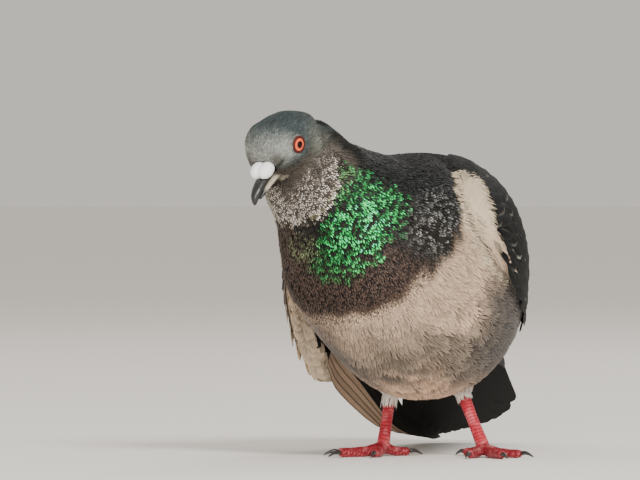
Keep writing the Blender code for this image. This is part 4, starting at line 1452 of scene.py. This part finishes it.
def makeWing(side):
    right = side == "right"
    sheetAt = sheetFromRows(wingRows[side])
    bladeAt = sheetFromRows(bladeRows[side])
    # painted shade: the plate under the feathers is a darker copy of their tone, outside and on the right
    # wing's inner side
    inner = tone["lining"] * 0.5 if right else tone["wing"]
    coverPlate("wing_plate_" + side, sheetAt, 0.7, (tone["wing"] * 0.6, inner),
               ("coverts_" + side, "secondaries_" + side), 0.0 if right else 0.8)
    coverts = covertPlaces(sheetAt, -0.03, wing["covertEnd"], wing["firstLength"], wing["lastLength"],
                           (0.0, 1.0 if right else 1.1))
    coverts["base"] += 1.2 * smoothStep(0.9, 1.1, coverts["v0"])
    coverts["lined"] = np.full(len(coverts["v0"]), float(right))
    vaneField("coverts_skin_" + side, sheetAt, coverts, shapes["covert"], wingTint)
    order = np.arange(wing["secondaries"])
    spots = 0.08 + 0.86 * order / (len(order) - 1)
    feathers = featherRow(0.42, 1.02 - 0.035 * order[::-1] ** 0.9, spots, 13.0, -0.25 + 0.06 * order[::-1])
    vaneField("secondaries_skin_" + side, sheetAt, feathers, shapes["secondary"],
              flightTint("wing", "lining"))
    start, low, lift = (0.0, 1.0, 2.4) if right else (0.1, 0.8, 0.8)
    lining = covertPlaces(sheetAt, start, 0.8, 7.0, 15.0, (0.1, low), aspect=0.5)
    shape = {**shapes["lining"], "lift": lift}
    vaneField("wing_lining_" + side, sheetAt, lining, shape, liningTint, outer=False)
    order = np.arange(wing["primaries"])
    spots = 0.12 + 0.78 * order / (len(order) - 1)
    feathers = featherRow(-0.02, 1.0 - 0.085 * order**0.95, spots, 7.5, -0.8 + 0.22 * order)
    vaneField("primaries_skin_" + side, bladeAt, feathers, shapes["primary"],
              flightTint("wing", "quill", 0.85, 0.5), ("primaries_" + side,))
    print("wing", side)


def makeTail():
    share = 2 * np.arange(tailFan["feathers"]) / (tailFan["feathers"] - 1) - 1
    feathers = featherRow(0.0, 0.99 - 0.1 * share**2 - 0.08 * np.abs(share) ** 6, 0.5 + share * 0.45, 12.5,
                          -0.5 + 0.9 * (1 - np.abs(share)), share * 0.01)
    # the underside takes the dark tail tone, partly painted shade
    vaneField("tail_skin", tailSheet(), feathers, shapes["tail"], flightTint("tailPale", "tail"), ("tail",))


def eyeFinish(name, centre, axis):
    # pupil and iris as rings round the eye's axis
    material, tree, shader = shaderNodes(name)
    spot = addNode(tree, "TexCoord", {}).outputs["Object"]
    for operation, other in (("SUBTRACT", centre), ("CROSS_PRODUCT", axis)):
        spot = addNode(tree, "VectorMath", {0: spot, 1: other}, operation=operation).outputs["Vector"]
    size = addNode(tree, "VectorMath", {0: spot}, operation="LENGTH").outputs["Value"]
    radius = mathNode(tree, "ADD", size, rangeNode(tree, noiseNode(tree, 1500.0), -0.00016, 0.00016))
    ramp = tree.nodes.new("ShaderNodeValToRGB")
    stops = ramp.color_ramp.elements
    edge = 4.4  # where the ramp ends, in millimetres from the axis
    bands = ((0.0, "pupilColour"), (eye["pupil"] - 0.1, "pupilColour"), (eye["pupil"] + 0.1, "edgeColour"),
             (eye["pupil"] + 0.4, "innerColour"), (eye["iris"] - 0.25, "innerColour"),
             (eye["iris"] - 0.05, "outerColour"), (eye["iris"] + 0.15, "rimColour"))
    while len(stops) < len(bands):
        stops.new(0.5)
    for stop, (off, colour) in zip(stops, bands):
        stop.position = off / edge
        stop.color = (*linear(eye[colour]), 1)
    connect(tree, ramp, {"Fac": rangeNode(tree, radius, 0.0, 1.0, 0.0, edge * mm)})
    connect(tree, shader, {
        "Base Color": ramp.outputs["Color"],
        "Roughness": 0.3,
        "Specular IOR Level": 0.05,
        "Coat Weight": 0.18,
        "Coat Roughness": 0.03,
    })
    return material


def makeEye(side, sign):
    centre = Vector(inHead(eyeForward, sign * eyeSide, eyeRise))
    axis = Vector(eyeAxis(sign))
    turn = axis.to_track_quat("Z", "Y").to_matrix().to_4x4()
    bm = bmesh.new()
    bmesh.ops.create_uvsphere(bm, u_segments=48, v_segments=32, radius=pose["eyeRadius"] * mm)
    plane = math.sqrt(pose["eyeRadius"] ** 2 - eye["opening"] ** 2)
    for vert in bm.verts:  # the cornea is a low dome between the lids
        off = math.hypot(vert.co.x, vert.co.y) / mm
        if vert.co.z > 0 and off < eye["opening"]:
            vert.co.z = (plane + eye["dome"] * (1 - (off / eye["opening"]) ** 2)) * mm
    bmesh.ops.transform(bm, matrix=Matrix.Translation(centre) @ turn, verts=bm.verts)
    mesh = meshFrom(bm, "eyeball_" + side)
    mesh.shade_smooth()
    dress(newObject("eyeball_" + side, mesh), eyeFinish("eye_" + side, centre, axis), ("eye_" + side,))
    makeLid(side, centre, turn)


def makeLid(side, centre, turn):
    # the lids lie on the ball, with a bare wrinkled ring at their edge
    first, last, inner, outer = (eye[key] for key in ("ringStart", "ringEnd", "lidIn", "lidOut"))
    rows = [(first, inner + 0.02), (first + 0.5, outer - 0.08), (first + 3.0, outer + 0.08)]
    rows += [(first + 6.5, outer + 0.06), (last - 1.5, outer - 0.04)]
    rows += [(polar, outer - 0.2) for polar in np.linspace(last + 3, 98, 9)]
    rows += [(polar, inner) for polar in np.linspace(98, first + 4, 9)]
    bm = bmesh.new()
    profile = []
    for polar, reach in rows:
        angle = math.radians(polar)
        profile.append(bm.verts.new((reach * mm * math.sin(angle), 0.0, reach * mm * math.cos(angle))))
    edges = [bm.edges.new((profile[k], profile[(k + 1) % len(rows)])) for k in range(len(rows))]
    bmesh.ops.spin(bm, geom=profile + edges, cent=(0, 0, 0), axis=(0, 0, 1), angle=math.tau, steps=96,
                   use_merge=True)
    bmesh.ops.remove_doubles(bm, verts=bm.verts, dist=1e-6)
    bmesh.ops.recalc_face_normals(bm, faces=bm.faces)
    polars = []
    for vert in bm.verts:
        around = math.atan2(vert.co.y, vert.co.x)
        polars.append(math.degrees(vert.co.angle(Vector((0, 0, 1)))))
        if vert.co.length > (inner + 0.1) * mm:
            vert.co *= 1 + 0.012 * math.sin(around * 30 + 5 * math.sin(polars[-1]))
    bmesh.ops.transform(bm, matrix=Matrix.Translation(centre) @ turn, verts=bm.verts)
    outward = smoothStep(last - 2, last + 2, np.array(polars))
    colours = layered(len(polars), linear(eye["ringColour"]), ((outward, linear(eye["lidColour"])),))
    dress(newObject("lid_" + side, meshFrom(bm, "lid_" + side)), "lid", (), colours)


bill = {
    "horn": (31, 31, 29),
    "flesh": (176, 164, 142),
    "line": (34, 28, 26),
    "powder": (255, 254, 252),
    # painted shade in the cere's dents and groove
    "crease": (232, 220, 210),
}


def makeBill():
    for name in ("bill_upper", "bill_lower"):
        thing = remeshed(copyOf(name + "_skin", (name,)), "bill")
        place = toHead(readMesh(thing.data)[0])
        if name == "bill_lower":
            layer = (smoothStep(24.5, 21.5, place[:, 0]), linear(bill["flesh"]))
        else:
            layer = (smoothStep(-3.6, -4.3, place[:, 2] + 0.12 * (place[:, 0] - 16)), linear(bill["line"]))
        dress(thing, "bill", (name,), layered(len(place), linear(bill["horn"]), (layer,)))
    cere = remeshed(copyOf("cere_skin", ("cere",)), "cere")
    points, normals = readMesh(cere.data)
    place = toHead(points)
    rough = 0.08 * ripple(points, 1.6 * mm, 31) + 0.04 * ripple(points, 0.7 * mm, 32)
    groove = -0.2 * np.exp(-((place[:, 1] / 0.5) ** 2)) * smoothStep(-1, 2, place[:, 2])
    movePoints(cere.data, points + normals * ((rough + groove) * mm)[:, None])
    # painted shade: the powder is darker in the cere's dents and groove
    low = np.clip(-rough * 3 - groove, 0, 1) * 0.6
    colours = layered(len(points), linear(bill["powder"]), ((low, linear(bill["crease"])),))
    dress(cere, "cere", ("cere",), colours)
    print("bill and cere")


leg = {
    "red": (182, 40, 54),
    "pale": (232, 140, 140),
    "seam": (84, 10, 20),
    "toe": (130, 28, 38),
    "claw": (40, 36, 34),
    "scute": 1.6,  # the length and height of one of the plates along the leg's front
    "height": 0.28,
    "toeDrop": (1.5, 2.0),  # how far a toe's middle line lies below the ankle, at its root and its tip
}


def standOn(mesh, points):
    # nothing reaches below the floor
    points[:, 2] = np.maximum(points[:, 2], 0.0)
    movePoints(mesh, points)


def makeLeg(side):
    nodeNames = ("tarsus_" + side, "foot_" + side)
    thing = remeshed(copyOf("leg_skin_" + side, nodeNames), "leg")
    points, normals = readMesh(thing.data)
    plan = legs[side]
    hock, ankle = placed(plan["hock"]), placed(plan["middle"])
    lines = [(hock, ankle, (0, -1.0, 0.2))]
    rootDrop, tipDrop = (np.array((0, 0, drop * mm)) for drop in leg["toeDrop"])
    for turn, length in toes.values():
        angle = math.radians(plan["toeOut"] + (turn if side == "left" else -turn))
        way = np.array((math.sin(angle), -math.cos(angle), 0.0))
        lines.append((ankle - rootDrop, ankle + way * length * mm - tipDrop, (0, 0, 1.0)))
    far, along, over = [], [], []
    for start, end, front in lines:
        axis = end - start
        length = np.linalg.norm(axis)
        t = np.clip((points - start) @ axis / length**2, 0, 1)
        off = points - start - t[:, None] * axis
        far.append(np.linalg.norm(off, axis=1))
        along.append(t * length / mm)
        over.append(unit(off) @ unit(np.array(front)))
    nearest = np.argmin(far, 0)
    rows = np.arange(len(points))
    along, over = np.array(along)[nearest, rows], np.array(over)[nearest, rows]
    phase = along / leg["scute"] + 0.25 * ripple(points, 5 * mm, 41)
    saw = phase - np.floor(phase)
    plateShare = smoothStep(-0.1, 0.5, over)
    ridge = (smoothStep(0.0, 0.22, saw) * smoothStep(1.0, 0.9, saw)) * plateShare
    grains = ripple(points, 1.1 * mm, 42)
    raised = leg["height"] * (ridge - 0.5 * plateShare) + 0.07 * grains * (1 - plateShare)
    standOn(thing.data, points + normals * (raised * mm)[:, None])
    seam, light = linear(leg["seam"]), linear(leg["pale"])
    colours = layered(len(points), linear(leg["red"]), (
        ((nearest > 0) * 0.85, linear(leg["toe"])),
        ((1 - ridge) * plateShare * 0.9, seam),
        (np.clip(-grains, 0, 1) * (1 - plateShare) * 0.8, seam),
        (np.clip(grains, 0, 1) * (1 - plateShare) * 0.4, light),
        (ridge * smoothStep(-0.2, 0.6, ripple(points, 4 * mm, 43)) * 0.3, light),
    ))
    dress(thing, "shank", nodeNames, colours)
    clawNames = [f"claw_{toe}_{side}" for toe in toes]
    claws = copyOf("claws_skin_" + side, clawNames)
    finer = claws.modifiers.new("finer", "SUBSURF")
    finer.levels = finer.render_levels = 2
    settled(claws)
    points = readMesh(claws.data)[0]
    standOn(claws.data, points)
    dress(claws, "bill", clawNames, layered(len(points), linear(leg["claw"]), ()))
    print("leg", side)


studio = {
    "floor": (250, 246, 240),
    "world": (244, 238, 230),
    "worldStrength": 0.75,
    "key": ((1.5, -2.3, 1.8), 0.8, 88),
    "fill": ((0.4, -3, 0.6), 1.2, 46),
    "back": ((0.5, 1.9, 1.9), 1.2, 14),
}
view = {
    "azimuth": 14,
    "elevation": 0.5,
    "distance": 3,
    "lens": 375,
    "aimSide": -0.0495,
    "aimUp": 0.09675,
}


def makeFloor():
    bm = bmesh.new()
    bmesh.ops.create_circle(bm, cap_ends=True, segments=96, radius=30.0)
    mesh = meshFrom(bm, "floor")
    material, tree, shader = shaderNodes("floor")
    ramp = rangeNode(tree, noiseNode(tree, 30.0, 6.0), 0.97, 1.0)
    tint = tree.nodes.new("ShaderNodeRGB")
    tint.outputs[0].default_value = (*linear(studio["floor"]), 1)
    colour = multiplied(tree, tint.outputs[0], ramp)
    connect(tree, shader, {"Base Color": colour, "Roughness": 0.9, "Specular IOR Level": 0.1})
    mesh.materials.append(material)
    newObject("floor", mesh)


def makeLights():
    world = bpy.data.worlds.new("studio")
    bpy.context.scene.world = world
    world.use_nodes = True
    sky = {"Color": (*linear(studio["world"]), 1), "Strength": studio["worldStrength"]}
    connect(world.node_tree, world.node_tree.nodes["Background"], sky)
    target = Vector(shift) + Vector((0, -0.02, 0.08))
    for name in ("key", "fill", "back"):
        place, size, power = studio[name]
        lamp = bpy.data.lights.new(name, "AREA")
        lamp.shape = "DISK"
        lamp.size = size
        lamp.energy = power
        thing = newObject(name, lamp)
        thing.location = place
        thing.rotation_euler = (Vector(place) - target).to_track_quat("Z", "Y").to_euler()


def makeCamera():
    turn, rise = math.radians(view["azimuth"]), math.radians(view["elevation"])
    right = Vector((math.cos(turn), math.sin(turn), 0))
    back = Vector((math.sin(turn) * math.cos(rise), -math.cos(turn) * math.cos(rise), math.sin(rise)))
    up = back.cross(right)
    lens = bpy.data.cameras.new("camera")
    lens.lens = view["lens"]
    lens.sensor_width = 36
    lens.clip_end = 100
    camera = newObject("camera", lens)
    aim = Vector((shift[0], shift[1], 0)) + right * view["aimSide"] + up * view["aimUp"]
    camera.matrix_world = Matrix.Translation(aim + back * view["distance"]) \
        @ Matrix((right, up, back)).transposed().to_4x4()
    bpy.context.scene.camera = camera


makeCamera()
makeLights()
makeFloor()
makeEye("left", 1)
makeEye("right", -1)
makeBill()
makeLeg("left")
makeLeg("right")
makeWing("left")
makeWing("right")
makeTail()
coatSurface = makeSurface()
shoulderTree = makeShoulders()
coverBody()
for sideName in legs:
    makeSeam("fringe", sideName)
    makeSeam("scapulars", sideName)
    makeCuff(sideName)
makeSkin()
